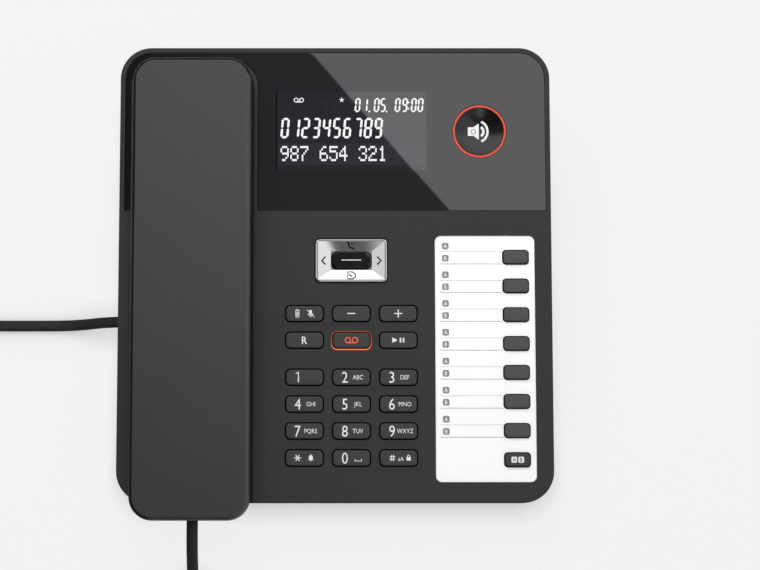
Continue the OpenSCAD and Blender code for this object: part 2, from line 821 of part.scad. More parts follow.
// Window of the wall that a jack fills, its lower edge on the floor that the jack stands on
module jack_window() {
  translate([0, -1, snug / 2]) jack_block(jack_w + 2 * snug, jack_h + snug, base_wall + 2);
}

module jack_openings() {
  at_back(line_x) jack_window();
  at_back(power_x) jack_window();
  at_left() jack_window();
}

// ---------------------------------------------------------------- handset

handset_x = channel_x;
grip_under = -channel_depth + grip_gap;             // underside of the grip
shell_in = 0.4;                                     // lower shell stands in from the cover
cup_w = well_w - 2 * cup_gap;
cup_l = well_l - 2 * cup_gap;
cup_corner = well_corner - cup_gap;
handset_boss_r = 3;
earpiece_r = 15;
earpiece_h = 6;
mouthpiece_r = 5;
mouthpiece_h = 5;
weight_w = 18;
weight_l = 44;
weight_h = 6;
HANDSET_SCREWS = [handset_v - 25.6, handset_v + 38.4];  // places along the slope
socket_x = handset_x + 0.8;
socket_w = 1.9;                                     // height of the cord socket's middle
socket_w_block = 11;
socket_h_block = 8;

module handset_outline(inset) {
  translate([handset_x, handset_v])
    rounded(handset_w - 2 * inset, handset_l - 2 * inset, handset_corner - inset);
}

module cup_outline(inset) {
  for (v = [ear_v, mouth_v]) translate([handset_x, v])
    rounded(cup_w - 2 * inset, cup_l - 2 * inset, cup_corner - inset);
}

module handset_cover() {
  top = handset_top;
  color(soft_black) on_face() {
    difference() {
      translate([handset_x, handset_v])
        soft_body(handset_w, handset_l, handset_corner,
                  [[handset_joint, handset_joint + 0.1, 0.3], [handset_joint + 0.4, top - cover_belt, 0],
                   [top - 1.9, top - 1.8, 0.3 * handset_bevel], [top - 0.9, top - 0.8, 0.58 * handset_bevel],
                   [top - 0.3, top - 0.25, 0.86 * handset_bevel], [top - 0.05, top, handset_bevel + 0.4]]);
      layer(handset_joint - eps, top - handset_wall) handset_outline(shell_in + handset_wall);
    }
    for (v = HANDSET_SCREWS) translate([handset_x, v, handset_joint]) difference() {
      cylinder(r = handset_boss_r, h = top - handset_wall - handset_joint + eps);
      translate([0, 0, -eps]) cylinder(r = screw_r + screw_play, h = 7);
    }
  }
}

module handset_shell() {
  color(matte_black) on_face() difference() {
    union() {
      difference() {
        union() {
          layer(grip_under, handset_joint) handset_outline(shell_in);
          layer(-well_depth, grip_under + eps) cup_outline(0);
        }
        layer(grip_under + handset_wall, handset_joint + eps) handset_outline(shell_in + handset_wall);
        layer(-well_depth + handset_wall, handset_joint) cup_outline(handset_wall);
      }
      for (v = HANDSET_SCREWS) translate([handset_x, v, grip_under]) cylinder(r = handset_boss_r, h = handset_joint - grip_under);
    }
    for (v = HANDSET_SCREWS) translate([handset_x, v, grip_under]) {
      translate([0, 0, -1]) cylinder(r = head_r + 0.1, h = head_h + 1.2);
      cylinder(r = screw_r + 0.2, h = 20);
    }
    for (i = [0:2], a = [0:1:max(0, 6 * i - 1)]) translate([handset_x, ear_v, -well_depth - 1])
      rotate(i == 0 ? 0 : a * 60 / i) translate([i * 3.4, 0]) cylinder(r = 0.9, h = handset_wall + 2);
    for (x = [-3, 0, 3]) translate([handset_x + x, mouth_v, -well_depth - 1])
      cylinder(r = 0.8, h = handset_wall + 2);
    translate([socket_x, handset_v - handset_l / 2, socket_w])
      cube([small_port_w, 8, small_port_h], center = true);
  }
}

// Earpiece, mouthpiece and the weight that holds the hook down
module handset_inner() {
  inside = -well_depth + handset_wall;
  weight_v = (HANDSET_SCREWS[0] + HANDSET_SCREWS[1]) / 2;
  color(part_grey) on_face() {
    at([handset_x, ear_v], inside) cylinder(r = earpiece_r, h = earpiece_h);
    at([handset_x, mouth_v], inside) cylinder(r = mouthpiece_r, h = mouthpiece_h);
    at([handset_x, weight_v], grip_under + handset_wall) layer(0, weight_h)
      square([weight_w, weight_l], center = true);
  }
}

module handset_screws() {
  color(steel) on_face() for (v = HANDSET_SCREWS) translate([handset_x, v, grip_under + 0.2]) {
    cylinder(r = head_r, h = head_h);
    translate([0, 0, head_h - eps]) cylinder(r = screw_r, h = handset_joint - grip_under + 4);
  }
}

// Socket block inside the handset's front end
socket_front = handset_v - handset_l / 2 + shell_in + handset_wall;
module handset_socket() {
  color(part_grey) on_face() translate([socket_x, socket_front, socket_w]) difference() {
    translate([-socket_w_block / 2, 0, -grip_drop]) cube([socket_w_block, socket_depth, socket_h_block]);
    translate([-small_port_w / 2, -eps, -small_port_h / 2]) cube([small_port_w, port_depth, small_port_h]);
  }
}
grip_drop = socket_w - grip_under - handset_wall;   // from the socket's middle to the shell's floor

// ---------------------------------------------------------------- cord

plug_w = small_port_w - 2 * fit;
plug_h = small_port_h - 2 * fit;
plug_l = 12.6;
boot_l = 3;

// A plug, its cord end at the origin and the plug pointing along +y
module plug() {
  translate([-plug_w / 2, boot_l, -plug_h / 2]) cube([plug_w, plug_l - boot_l, plug_h]);
  translate([-cord_w / 2 - 0.3, 0, -cord_t / 2 - 0.5]) cube([cord_w + 0.6, boot_l + eps, cord_t + 1]);
}

handset_plug_v = handset_v - handset_l / 2 + shell_in;
base_plug_x = base_left;

module cord_plug_handset() {
  color(rubber_black) on_face() translate([socket_x, handset_plug_v, socket_w]) plug();
}

module cord_plug_base() {
  color(rubber_black) translate([base_plug_x, cord_y, port_z]) rotate([0, 0, -90]) plug();
}

function unit(v) = v / norm(v);
function tangent(p, i) = unit(p[min(i + 1, len(p) - 1)] - p[max(i - 1, 0)]);
// Point between b and c of a smooth curve through a, b, c and d
function blend(a, b, c, d, t) =
  0.5 * (2 * b + (c - a) * t + (2 * a - 5 * b + 4 * c - d) * t * t + (3 * b - a - 3 * c + d) * t * t * t);
function smooth(p, n) = [for (i = [0:len(p) - 2], k = [0:n - 1])
    blend(p[max(i - 1, 0)], p[i], p[i + 1], p[min(i + 2, len(p) - 1)], k / n), p[len(p) - 1]];
function square_to(n, t) = unit(n - t * (n * t));
function ring_points(c, t, n, sides) =
  let (up = square_to(n, t), side = cross(t, up), wide = cos(180 / sides), high = sides % 4 == 0 ? wide : 1)
  [for (j = [0:sides - 1]) let (a = 360 * (j + 0.5) / sides)
    c + side * (cord_w / 2 * cos(a) / wide) + up * (cord_t / 2 * sin(a) / high)];

// Tube through the points, its flat side square to the normal given for each point
module flat_tube(points, normals, sides) {
  n = len(points);
  rings = [for (i = [0:n - 1]) each ring_points(points[i], tangent(points, i), normals[i], sides)];
  walls = [for (i = [0:n - 2], j = [0:sides - 1]) let (a = i * sides + j, b = i * sides + (j + 1) % sides)
           each [[a, b, b + sides], [a, b + sides, a + sides]]];
  ends = [for (j = [1:sides - 2]) each [[0, j + 1, j], [(n - 1) * sides, (n - 1) * sides + j, (n - 1) * sides + j + 1]]];
  polyhedron(rings, concat(walls, ends));
}

desk_cord_z = cord_t / 2 + 0.2;   // middle of the cord where it lies on the desk
curl_r = curl_d / 2;
curl_z = curl_r + cord_t / 2 + 0.3;

// Row of curls: west, round a bend and north, on the desk
row_start = [-88, -168];
row_bend = [-139, -123];          // middle of the bend
row_bend_r = 45;
run_west = row_start[0] - row_bend[0];
run_bend = row_bend_r * PI / 2;
function row_angle(s) = min(90, max(0, (s - run_west) / row_bend_r * 180 / PI));
function row_heading(s) = let (a = row_angle(s)) [-cos(a), sin(a), 0];
function row_point(s) = let (a = row_angle(s), west = min(s, run_west), north = max(0, s - run_west - run_bend))
  [row_start[0] - west - row_bend_r * sin(a), row_start[1] + row_bend_r * (1 - cos(a)) + north, curl_z];

curl_rings = 8;
lead_in = 5.6;                    // straight stretch at each end of the row
ramp = 0.75;                      // turns over which a curl opens or closes
ramp_run = 6;                     // extra run of the row taken by each ramp
function eased(t) = let (c = min(1, max(0, t))) c * c * (3 - 2 * c);
function curl_radius(u) = curl_r * eased(u / ramp) * eased((curls - u) / ramp);
function curl_run(u) = lead_in + u * curl_pitch + ramp_run * (eased(u / ramp) + eased(1 - (curls - u) / ramp));
row_length = curl_run(curls) + lead_in;
function curl_normal(s, u) = let (h = row_heading(s), side = [h[1], -h[0], 0]) side * sin(360 * u) + [0, 0, 1] * cos(360 * u);
function curl_point(u) = let (s = curl_run(u)) row_point(s) + curl_normal(s, u) * curl_radius(u);

CURL_STEPS = [for (i = [0:curls * curl_rings]) i / curl_rings];
CURL_POINTS = concat([row_point(0)], [for (u = CURL_STEPS) curl_point(u)], [row_point(row_length)]);
CURL_NORMALS = concat([[0, 0, 1]], [for (u = CURL_STEPS) curl_normal(curl_run(u), u)], [[0, 0, 1]]);
row_end = row_point(row_length);

// Least distance between the points of one turn and those of the next
curl_sides = 6;
CURL_RINGS = [for (i = [0:len(CURL_POINTS) - 1])
              ring_points(CURL_POINTS[i], tangent(CURL_POINTS, i), CURL_NORMALS[i], curl_sides)];
function least_gap(rings) =
  let (last = len(rings) - 1, near = curl_rings / 2 + 1, wide = curl_rings * 3 / 2)
  min([for (i = [0:last], j = [i + near:1:min(i + wide, last)], a = rings[i], b = rings[j]) norm(a - b)]);

// Route of the lead from the handset down to the desk and to the row of curls
handset_end = face_point(socket_x, handset_plug_v, socket_w);
function face_point(x, v, w) = [x, face_y + v * cos(face_tilt) - w * sin(face_tilt),
                                face_z + v * sin(face_tilt) + w * cos(face_tilt)];
HANDSET_ROUTE = [handset_end, face_point(socket_x, handset_plug_v - 3, socket_w),
                 face_point(socket_x, handset_plug_v - 6, socket_w), [-67.4, -126, 20],
                 [-67.4, -133, 16], [-67.4, -140, 10.8], [-67.4, -147, 6.2], [-67.4, -154, 3.8],
                 [-68.5, -159.4, 3.3], [-71.5, -163.9, 3.9], [-76, -166.9, 5.3],
                 [-81.4, -168, curl_z], [-84.7, -168, curl_z], [-88, -168, curl_z]];
// Route of the lead from the row of curls to the base's left wall
BASE_ROUTE = [row_end, row_end + [0, 3, 0], row_end + [0, 6, 0], [-183.2, -20.2, 5],
              [-180.8, -16.6, 3.8], [-177.2, -14.2, 2.7], [-173, -13.4, 2], [-162, -13.4, 1.6],
              [-148, -13.4, 1.6], [-134, -13.4, 2], [-124, -13.4, 4.2], [-114, -13.4, 8.2],
              [base_plug_x - 8, cord_y, port_z], [base_plug_x - 4, cord_y, port_z],
              [base_plug_x, cord_y, port_z]];

module cord_lead_handset() {
  route = smooth(HANDSET_ROUTE, 3);
  color(rubber_black) flat_tube(route, [for (p = route) [0, 0, 1]], 8);
}
module cord_curls() {
  echo(least_gap_of_the_curls = least_gap(CURL_RINGS));
  color(rubber_black) flat_tube(CURL_POINTS, CURL_NORMALS, curl_sides);
}
module cord_lead_base() {
  route = smooth(BASE_ROUTE, 3);
  color(rubber_black) flat_tube(route, [for (p = route) [0, 0, 1]], 8);
}

// ---------------------------------------------------------------- all nodes

housing_upper();
housing_lower();
rubber_feet();
housing_screws();
display_panel();
display_module();
speaker_button();
speaker_ring();
rocker_plate();
rocker_gimbal();
centre_key();
message_halo();
label_card();
label_sheet();
key_mat();
main_board();
board_screws();
loudspeaker();
hook_plunger();
hook_switch();
line_jack();
power_jack();
handset_jack();
function_key([-1, 0]);  // mute_key
function_key([0, 0]);  // minus_key
function_key([1, 0]);  // plus_key
function_key([-1, 1]);  // recall_key
function_key(message_key);
function_key([1, 1]);  // play_key
digit_key([-1, 0]);  // key_1
digit_key([0, 0]);  // key_2
digit_key([1, 0]);  // key_3
digit_key([-1, 1]);  // key_4
digit_key([0, 1]);  // key_5
digit_key([1, 1]);  // key_6
digit_key([-1, 2]);  // key_7
digit_key([0, 2]);  // key_8
digit_key([1, 2]);  // key_9
digit_key([-1, 3]);  // star_key
digit_key([0, 3]);  // key_0
digit_key([1, 3]);  // hash_key
memory_key(0);  // memory_key_1
memory_key(1);  // memory_key_2
memory_key(2);  // memory_key_3
memory_key(3);  // memory_key_4
memory_key(4);  // memory_key_5
memory_key(5);  // memory_key_6
memory_key(6);  // memory_key_7
memory_key(7);  // shift_key
handset_cover();
handset_shell();
handset_inner();
handset_screws();
handset_socket();
cord_plug_handset();
cord_plug_base();
cord_lead_handset();
cord_curls();
cord_lead_base();
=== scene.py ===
# Corded desk telephone with a built-in answering machine: a sloping matt black body, a handset
# in its channel, a glossy display panel, a lit speaker button, a chrome rocker and a keypad.
import json
from math import atan2, copysign, cos, degrees, pi, radians, sin, tan

import bmesh
import bpy
from mathutils import Matrix, Vector


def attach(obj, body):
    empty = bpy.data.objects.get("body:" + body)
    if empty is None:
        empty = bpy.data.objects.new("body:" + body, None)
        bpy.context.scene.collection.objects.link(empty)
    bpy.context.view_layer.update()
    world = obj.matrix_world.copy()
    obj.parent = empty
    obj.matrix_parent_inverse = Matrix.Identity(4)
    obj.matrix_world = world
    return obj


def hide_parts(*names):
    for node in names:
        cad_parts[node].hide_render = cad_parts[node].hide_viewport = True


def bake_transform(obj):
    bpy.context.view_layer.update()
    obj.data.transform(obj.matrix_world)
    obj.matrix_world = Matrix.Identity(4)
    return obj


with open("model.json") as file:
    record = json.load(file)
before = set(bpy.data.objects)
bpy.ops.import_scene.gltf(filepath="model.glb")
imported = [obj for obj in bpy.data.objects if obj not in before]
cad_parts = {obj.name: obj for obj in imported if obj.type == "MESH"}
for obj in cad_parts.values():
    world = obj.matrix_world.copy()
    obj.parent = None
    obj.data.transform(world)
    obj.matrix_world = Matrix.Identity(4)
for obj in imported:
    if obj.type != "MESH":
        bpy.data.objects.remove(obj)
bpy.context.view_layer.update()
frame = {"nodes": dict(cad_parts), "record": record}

MM = 0.001


def in_scene(name, data):
    """A new object of the scene that holds the given mesh, curve, camera or light."""
    made = bpy.data.objects.new(name, data)
    bpy.context.scene.collection.objects.link(made)
    return made


# ---- the face and its axes

SLOPE = radians(8)
FACE_Y, FACE_Z = 4.4104, 37.309  # the face's middle in the frame, in millimetres
FACE = Matrix.Translation((0, FACE_Y * MM, FACE_Z * MM)) @ Matrix.Rotation(SLOPE, 4, "X")


def on_face(x, v, w=0.0):
    """A place given in the face's own axes, in millimetres, as a place of the frame."""
    return FACE @ Vector((x * MM, v * MM, w * MM))


# ---- camera

CAMERA_TILT = radians(14.816)
CAMERA_DISTANCE = 1.0
CAMERA_AIM = on_face(0, -6.095)
SENSOR_W, FOCAL_LENGTH = 36, 98.85
SIDE_SHIFT = 0.0591  # moves the picture sideways, as a share of its width

camera_lens = bpy.data.cameras.new("camera")
camera = in_scene("camera", camera_lens)
toward_camera = Vector((0, -sin(CAMERA_TILT), cos(CAMERA_TILT)))
camera.location = CAMERA_AIM + CAMERA_DISTANCE * toward_camera
camera.rotation_euler = (CAMERA_TILT, 0, 0)
camera_lens.sensor_width = SENSOR_W
camera_lens.lens = FOCAL_LENGTH
camera_lens.shift_x = SIDE_SHIFT
bpy.context.scene.camera = camera

# ---- cords

CORD_W = 5.4
CORD_T = 2.8
CORD_SIDES = 18
CORD_ROUND = 2.7  # 2 is an ellipse, more is squarer


def smooth(points, steps):
    """Points on a smooth curve through the given ones."""
    run = [points[0]] + list(points) + [points[-1]]
    made = []
    for a, b, c, d in zip(run, run[1:], run[2:], run[3:]):
        for k in range(steps):
            t = k / steps
            made.append(0.5 * (2 * b + (c - a) * t + (2 * a - 5 * b + 4 * c - d) * t * t
                               + (3 * b - a - 3 * c + d) * t ** 3))
    return made + [points[-1]]


def flat_cord(name, points, ups):
    """A flat cord with rounded sides, swept along its route. Points are in millimetres."""
    ring = []
    for j in range(CORD_SIDES):
        turn = 2 * pi * (j + 0.5) / CORD_SIDES
        across, up = cos(turn), sin(turn)
        ring.append((CORD_W / 2 * copysign(abs(across) ** (2 / CORD_ROUND), across),
                     CORD_T / 2 * copysign(abs(up) ** (2 / CORD_ROUND), up)))
    places, sides = [], []
    last = len(points) - 1
    for i, point in enumerate(points):
        ahead = (points[min(i + 1, last)] - points[max(i - 1, 0)]).normalized()
        up = (ups[i] - ahead * ups[i].dot(ahead)).normalized()
        side = ahead.cross(up)
        places += [(point + side * a + up * b) * MM for a, b in ring]
    n = CORD_SIDES
    for i in range(last):
        sides += [(i * n + j, i * n + (j + 1) % n, (i + 1) * n + (j + 1) % n, (i + 1) * n + j)
                  for j in range(n)]
    sides += [tuple(range(n))[::-1], tuple(last * n + j for j in range(n))]
    mesh = bpy.data.meshes.new(name)
    mesh.from_pydata([tuple(p) for p in places], [], sides)
    bm = bmesh.new()
    bm.from_mesh(mesh)
    bmesh.ops.recalc_face_normals(bm, faces=bm.faces)
    bm.to_mesh(mesh)
    bm.free()
    for face in mesh.polygons:
        face.use_smooth = len(face.vertices) == 4
    return in_scene(name, mesh)


UP = Vector((0, 0, 1))
CURL_R = 4.7  # mean radius of a curl
CURL_LIFT = 0.3  # gap between a curl and the desk
CURL_Z = CURL_R + CORD_T / 2 + CURL_LIFT
CURL_PITCH, CURLS = 7, 27
CURL_RINGS = 20  # places of the route in one curl
ROW_START = (-88, -168)  # the row of curls runs west from here, round a bend and north
ROW_BEND_R = 45
RUN_WEST = 51
RUN_BEND = ROW_BEND_R * pi / 2
LEAD_IN = 5.6  # straight stretch before and after the curls
RAMP = 0.75  # turns over which a curl opens or closes
RAMP_RUN = 6  # how far the row goes on meanwhile
ROUTE_STEPS = 5  # places between two given points of a lead


def row_angle(s):
    """How far the row has turned north at a distance s along it."""
    return min(pi / 2, max(0.0, (s - RUN_WEST) / ROW_BEND_R))


def row_point(s):
    """The row's middle line at a distance s along it."""
    a = row_angle(s)
    west, north = min(s, RUN_WEST), max(0.0, s - RUN_WEST - RUN_BEND)
    return Vector((ROW_START[0] - west - ROW_BEND_R * sin(a),
                   ROW_START[1] + ROW_BEND_R * (1 - cos(a)) + north, CURL_Z))


def eased(t):
    """Goes smoothly from 0 to 1 with t."""
    t = min(1.0, max(0.0, t))
    return t * t * (3 - 2 * t)


def curl_run(u):
    """The distance along the row after u curls."""
    return (LEAD_IN + u * CURL_PITCH
            + RAMP_RUN * (eased(u / RAMP) + eased(1 - (CURLS - u) / RAMP)))


def curl_up(s, u):
    """Which way the flat cord faces after u curls, at a distance s along the row."""
    a, turn = row_angle(s), 2 * pi * u
    return Vector((sin(a), cos(a), 0)) * sin(turn) + UP * cos(turn)


curl_points, curl_ups = [row_point(0)], [UP]
for i in range(CURLS * CURL_RINGS + 1):
    u = i / CURL_RINGS
    s = curl_run(u)
    radius = CURL_R * eased(u / RAMP) * eased((CURLS - u) / RAMP)
    curl_points.append(row_point(s) + curl_up(s, u) * radius)
    curl_ups.append(curl_up(s, u))
row_end = row_point(curl_run(CURLS) + LEAD_IN)

SOCKET_X = -67.4
HANDSET_END = on_face(SOCKET_X, -118.0, 1.9) / MM
DOWN_SLOPE = Vector((0, -cos(SLOPE), -sin(SLOPE)))
handset_route = [HANDSET_END, HANDSET_END + 3 * DOWN_SLOPE, HANDSET_END + 6 * DOWN_SLOPE] + [
    Vector(p) for p in (
        (-67.4, -126, 20), (-67.4, -133, 16), (-67.4, -140, 10.8), (-67.4, -147, 6.2),
        (-67.4, -154, 3.8), (-68.5, -159.4, 3.3), (-71.5, -163.9, 3.9), (-76, -166.9, 5.3),
        (-81.4, -168, CURL_Z), (-84.7, -168, CURL_Z), (-88, -168, CURL_Z))]
BASE_END = Vector((-98, -13.4, 9.7))
base_route = [row_end, row_end + Vector((0, 3, 0)), row_end + Vector((0, 6, 0))] + [
    Vector(p) for p in (
        (-183.2, -20.2, 5), (-180.8, -16.6, 3.8), (-177.2, -14.2, 2.7), (-173, -13.4, 2),
        (-162, -13.4, 1.6), (-148, -13.4, 1.6), (-134, -13.4, 2), (-124, -13.4, 4.2),
        (-114, -13.4, 8.2), (-106, -13.4, 9.7), (-102, -13.4, 9.7))] + [BASE_END]

lead_points = smooth(handset_route, ROUTE_STEPS)
handset_lead = flat_cord("handset_lead", lead_points, [UP] * len(lead_points))
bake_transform(handset_lead)
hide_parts("cord_lead_handset")

base_points = smooth(base_route, ROUTE_STEPS)
long_points = curl_points + base_points
curled_cord = flat_cord("curled_cord", long_points, curl_ups + [UP] * len(base_points))
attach(curled_cord, "base")
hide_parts("cord_curls", "cord_lead_base")

# ---- finishes


def node(tree, kind, inputs=None, **settings):
    """A shader node; its inputs are sockets to link from or plain values."""
    made = tree.nodes.new("ShaderNode" + kind)
    for name, value in settings.items():
        setattr(made, name, value)
    for name, value in (inputs or {}).items():
        if isinstance(value, bpy.types.NodeSocket):
            tree.links.new(value, made.inputs[name])
        else:
            made.inputs[name].default_value = value
    return made


def worked(tree, operation, *values):
    """The outcome of a maths node."""
    return node(tree, "Math", dict(enumerate(values)), operation=operation).outputs[0]


def ramp(tree, value, start, end, low=0.0, high=1.0):
    """A level that goes from low to high while the value goes from start to end."""
    return node(tree, "MapRange", {"Value": value, "From Min": start, "From Max": end,
                                   "To Min": low, "To Max": high}).outputs[0]


def mixed(tree, share, first, second):
    return node(tree, "MixShader", {0: share, 1: first, 2: second}).outputs[0]


def shaded(tree, colour, share):
    """A colour made brighter or darker."""
    return node(tree, "VectorMath", {0: colour, "Scale": share}, operation="SCALE").outputs[0]


def grey(level):
    return (level, level, level, 1.0)


def new_group(name, *values):
    """A node group that takes a colour, a roughness and the named values, and puts out a
    colour, a roughness and a height."""
    tree = bpy.data.node_groups.new(name, "ShaderNodeTree")
    for way, titles in (("INPUT", ("Colour", "Roughness") + values),
                        ("OUTPUT", ("Colour", "Roughness", "Height"))):
        for title in titles:
            kind = "NodeSocketColor" if title == "Colour" else "NodeSocketFloat"
            tree.interface.new_socket(title, in_out=way, socket_type=kind)
    return tree, tree.nodes.new("NodeGroupInput").outputs


def close_group(tree, colour, roughness, height):
    made = tree.nodes.new("NodeGroupOutput")
    for title, value in (("Colour", colour), ("Roughness", roughness), ("Height", height)):
        tree.links.new(value, made.inputs[title])
    return tree


def moulded_grain():
    """Moulded plastic: an eroded grain, and slow changes of shade and of gloss from handling."""
    tree, given = new_group("Moulded grain", "Shade change", "Gloss change", "Grain scale")
    spot = node(tree, "TexCoord").outputs["Object"]
    slow = node(tree, "TexNoise", {"Vector": spot, "Scale": 14.0, "Detail": 4.0})
    grain = node(tree, "TexNoise", {"Vector": spot, "Scale": given["Grain scale"], "Detail": 2.0})
    pits = node(tree, "TexVoronoi", {"Vector": spot, "Scale": given["Grain scale"]})
    swing = worked(tree, "SUBTRACT", slow.outputs[0], 0.5)
    speck = worked(tree, "SUBTRACT", grain.outputs[0], 0.5)
    both = worked(tree, "MULTIPLY_ADD", speck, 0.7, swing)
    shade = worked(tree, "MULTIPLY_ADD", both, given["Shade change"], 1.0)
    gloss = worked(tree, "MULTIPLY_ADD", both, given["Gloss change"], given["Roughness"])
    height = worked(tree, "ADD", grain.outputs[0], pits.outputs["Distance"])
    return close_group(tree, shaded(tree, given["Colour"], shade), gloss, height)


def polished_film():
    """A polished skin: faint wiping marks and dust that dull it here and there."""
    tree, given = new_group("Polished film", "Marks")
    spot = node(tree, "TexCoord").outputs["Object"]
    drawn = node(tree, "Mapping", {"Vector": spot, "Scale": (30, 6, 20)})
    wipes = node(tree, "TexNoise", {"Vector": drawn.outputs[0], "Scale": 3.0, "Detail": 6.0})
    dust = node(tree, "TexNoise", {"Vector": spot, "Scale": 1800.0, "Detail": 1.0})
    kept = ramp(tree, dust.outputs[0], 0.7, 0.8)
    marks = worked(tree, "ADD", wipes.outputs[0], kept)
    rough = worked(tree, "MULTIPLY_ADD", marks, given["Marks"], given["Roughness"])
    lift = worked(tree, "MULTIPLY_ADD", kept, 0.05, 1.0)
    return close_group(tree, shaded(tree, given["Colour"], lift), rough, wipes.outputs[0])


GRAIN = moulded_grain()
FILM = polished_film()


def finish_of(name, group, level, values, bump, depth, shine=0.5, **shader):
    """A material whose colour, roughness and relief come from one of the groups. Its level is
    a shade of grey or a whole colour."""
    material = bpy.data.materials.new(name)
    material.use_nodes = True
    tree = material.node_tree
    principled = tree.nodes["Principled BSDF"]
    source = node(tree, "Group", node_tree=group)
    source.inputs["Colour"].default_value = level if isinstance(level, tuple) else grey(level)
    for title, value in values.items():
        source.inputs[title].default_value = value
    tree.links.new(source.outputs["Colour"], principled.inputs["Base Color"])
    tree.links.new(source.outputs["Roughness"], principled.inputs["Roughness"])
    relief = node(tree, "Bump", {"Strength": bump, "Distance": depth, "Height": source.outputs["Height"]})
    tree.links.new(relief.outputs[0], principled.inputs["Normal"])
    principled.inputs["Specular IOR Level"].default_value = shine
    for title, value in shader.items():
        principled.inputs[title.replace("_", " ")].default_value = value
    return material


GRAIN_DEPTH, FILM_DEPTH = 0.00003, 0.00002
KEY_GRAIN = 3600.0  # keys have a finer grain than the body
PRINT_GRAIN = 5000.0


def moulded(name, level, rough, scale=2400.0, bump=0.35, shade=0.14, gloss=0.12, **shader):
    return finish_of(name, GRAIN, level, {"Shade change": shade, "Roughness": rough,
                                          "Gloss change": gloss, "Grain scale": scale},
                     bump, GRAIN_DEPTH, **shader)


def polished(name, level, rough=0.03, marks=0.03, bump=0.02, **shader):
    return finish_of(name, FILM, level, {"Roughness": rough, "Marks": marks},
                     bump, FILM_DEPTH, **shader)


BODY_BLACK = moulded("body black", 0.0275, 0.5, shine=0.3)
HANDSET_BLACK = moulded("handset black", 0.0125, 0.37, shine=0.85)
# Painted shade for the handset's left and rear bevels, which look away from the light
HANDSET_BEVEL_SHADE = moulded("handset bevel painted shade", 0.003, 0.5, shine=0.22)
KEY_BLACK = moulded("key black", 0.037, 0.45, scale=KEY_GRAIN, bump=0.2, shine=0.38)
MEMORY_BLACK = moulded("memory key black", 0.064, 0.45, scale=KEY_GRAIN, bump=0.2, shine=0.38)
# The keys' sides are the same plastic as their tops; this darker finish is painted shade for the gaps
# round them
KEY_SIDE_SHADE = moulded("key side painted shade", 0.003, 0.7, scale=KEY_GRAIN, bump=0.1, shine=0.1)
PANEL_BLACK = polished("panel black", 0.004, 0.006, 0.012, bump=0.002)
GLOSS_BLACK = polished("button black", 0.003, 0.13, 0.03, shine=0.44)
CENTRE_BLACK = polished("centre key black", 0.003, 0.06, 0.04, shine=0.35)
CHROME = polished("chrome", 0.62, 0.015, 0.03, Metallic=1.0)
RUBBER_BLACK = moulded("rubber black", 0.018, 0.75, scale=1600.0)
CORD_BLACK = moulded("cord black", 0.016, 0.5, scale=3200.0, bump=0.15, shine=0.3)
PLUG_CLEAR = polished("plug plastic", 0.05, 0.2, 0.1)
INNER_GREY = moulded("inner grey", 0.09, 0.5, scale=1200.0)
BOARD_GREEN = moulded("board green", (0.012, 0.07, 0.03, 1.0), 0.35, scale=900.0, shade=0.4)
STEEL = polished("steel", 0.55, 0.28, 0.2, Metallic=1.0)
# The card's faint emission is painted light that keeps it bright white
CARD_WHITE_GLOW = moulded("card white with painted glow", 0.97, 0.7, scale=2600.0, bump=0.1, shade=0.02, gloss=0.05,
                     Emission_Color=grey(1.0), Emission_Strength=0.07)
INK_WHITE = moulded("white print", 0.82, 0.5, scale=PRINT_GRAIN, bump=0.05, shade=0.03)
INK_BLACK = moulded("black print", 0.004, 0.7, scale=PRINT_GRAIN, bump=0.05, shine=0.08)
INK_GREY = moulded("grey print", 0.36, 0.6, scale=PRINT_GRAIN, bump=0.05)
INK_DARK_GREY = moulded("dark grey print", 0.2, 0.6, scale=PRINT_GRAIN, bump=0.05)


def display_film(name, colour):
    return polished(name, colour, 0.006, 0.012, bump=0.002, shine=0.62)


LCD_GLASS = display_film("display glass", (0.003, 0.004, 0.008, 1.0))
LCD_BAND = display_film("display band", (0.009, 0.011, 0.017, 1.0))
LCD_GHOST = display_film("display ghost", (0.008, 0.009, 0.013, 1.0))


def lit(name, colour, strength, base=0.02):
    """A finish that gives light of its own, on a base of the same colour."""
    return polished(name, tuple(base * c for c in colour[:3]) + (1.0,), 0.3, 0.05,
                    Emission_Color=colour, Emission_Strength=strength)


LCD_LIT = lit("display character", grey(1.0), 0.95)
RING_LIT = lit("ring light", (0.78, 0.09, 0.045, 1.0), 0.66, base=0.2)
SYMBOL_LIT = lit("lit symbol", (0.8, 0.1, 0.045, 1.0), 0.75, base=0.4)


HALO_FRONT, HALO_REAR = -37.0, -29.0  # ends of the message key's outline, along the slope
HALO_FADE = 2.6  # how fast its light falls off from the front
HALO_DIM = 0.07  # share of light left at its rear


def halo_light():
    """The message key's outline, which shines most along its front edge."""
    material = lit("outline light", (0.9, 0.16, 0.05, 1.0), 1.0, base=0.3)
    tree = material.node_tree
    spot = node(tree, "TexCoord").outputs["Object"]
    split = node(tree, "SeparateXYZ", {0: spot})
    front, rear = (on_face(0, v).y for v in (HALO_FRONT, HALO_REAR))
    fade = ramp(tree, split.outputs["Y"], front, rear, 1.0, 0.0)
    fall = worked(tree, "POWER", fade, HALO_FADE)
    colour = shaded(tree, (0.92, 0.17, 0.05), ramp(tree, fall, 0.0, 1.0, HALO_DIM, 1.0))
    tree.links.new(colour, tree.nodes["Principled BSDF"].inputs["Emission Color"])
    return material


HALO_LIT = halo_light()
CLEAR_SHEET = polished("clear sheet", 0.9, 0.04, 0.04, Alpha=0.05)

SLOT_FINISH = {
    "matte_body": BODY_BLACK, "handset_back": HANDSET_BLACK, "key_cap": KEY_BLACK,
    "gloss_panel": PANEL_BLACK, "button_gloss": GLOSS_BLACK, "light_red": RING_LIT,
    "chrome_key": CHROME, "card": CARD_WHITE_GLOW, "clear_sheet": CLEAR_SHEET, "display": LCD_GLASS,
    "rubber": RUBBER_BLACK, "cord": CORD_BLACK, "steel": STEEL, "board": BOARD_GREEN,
    "inner_part": INNER_GREY}

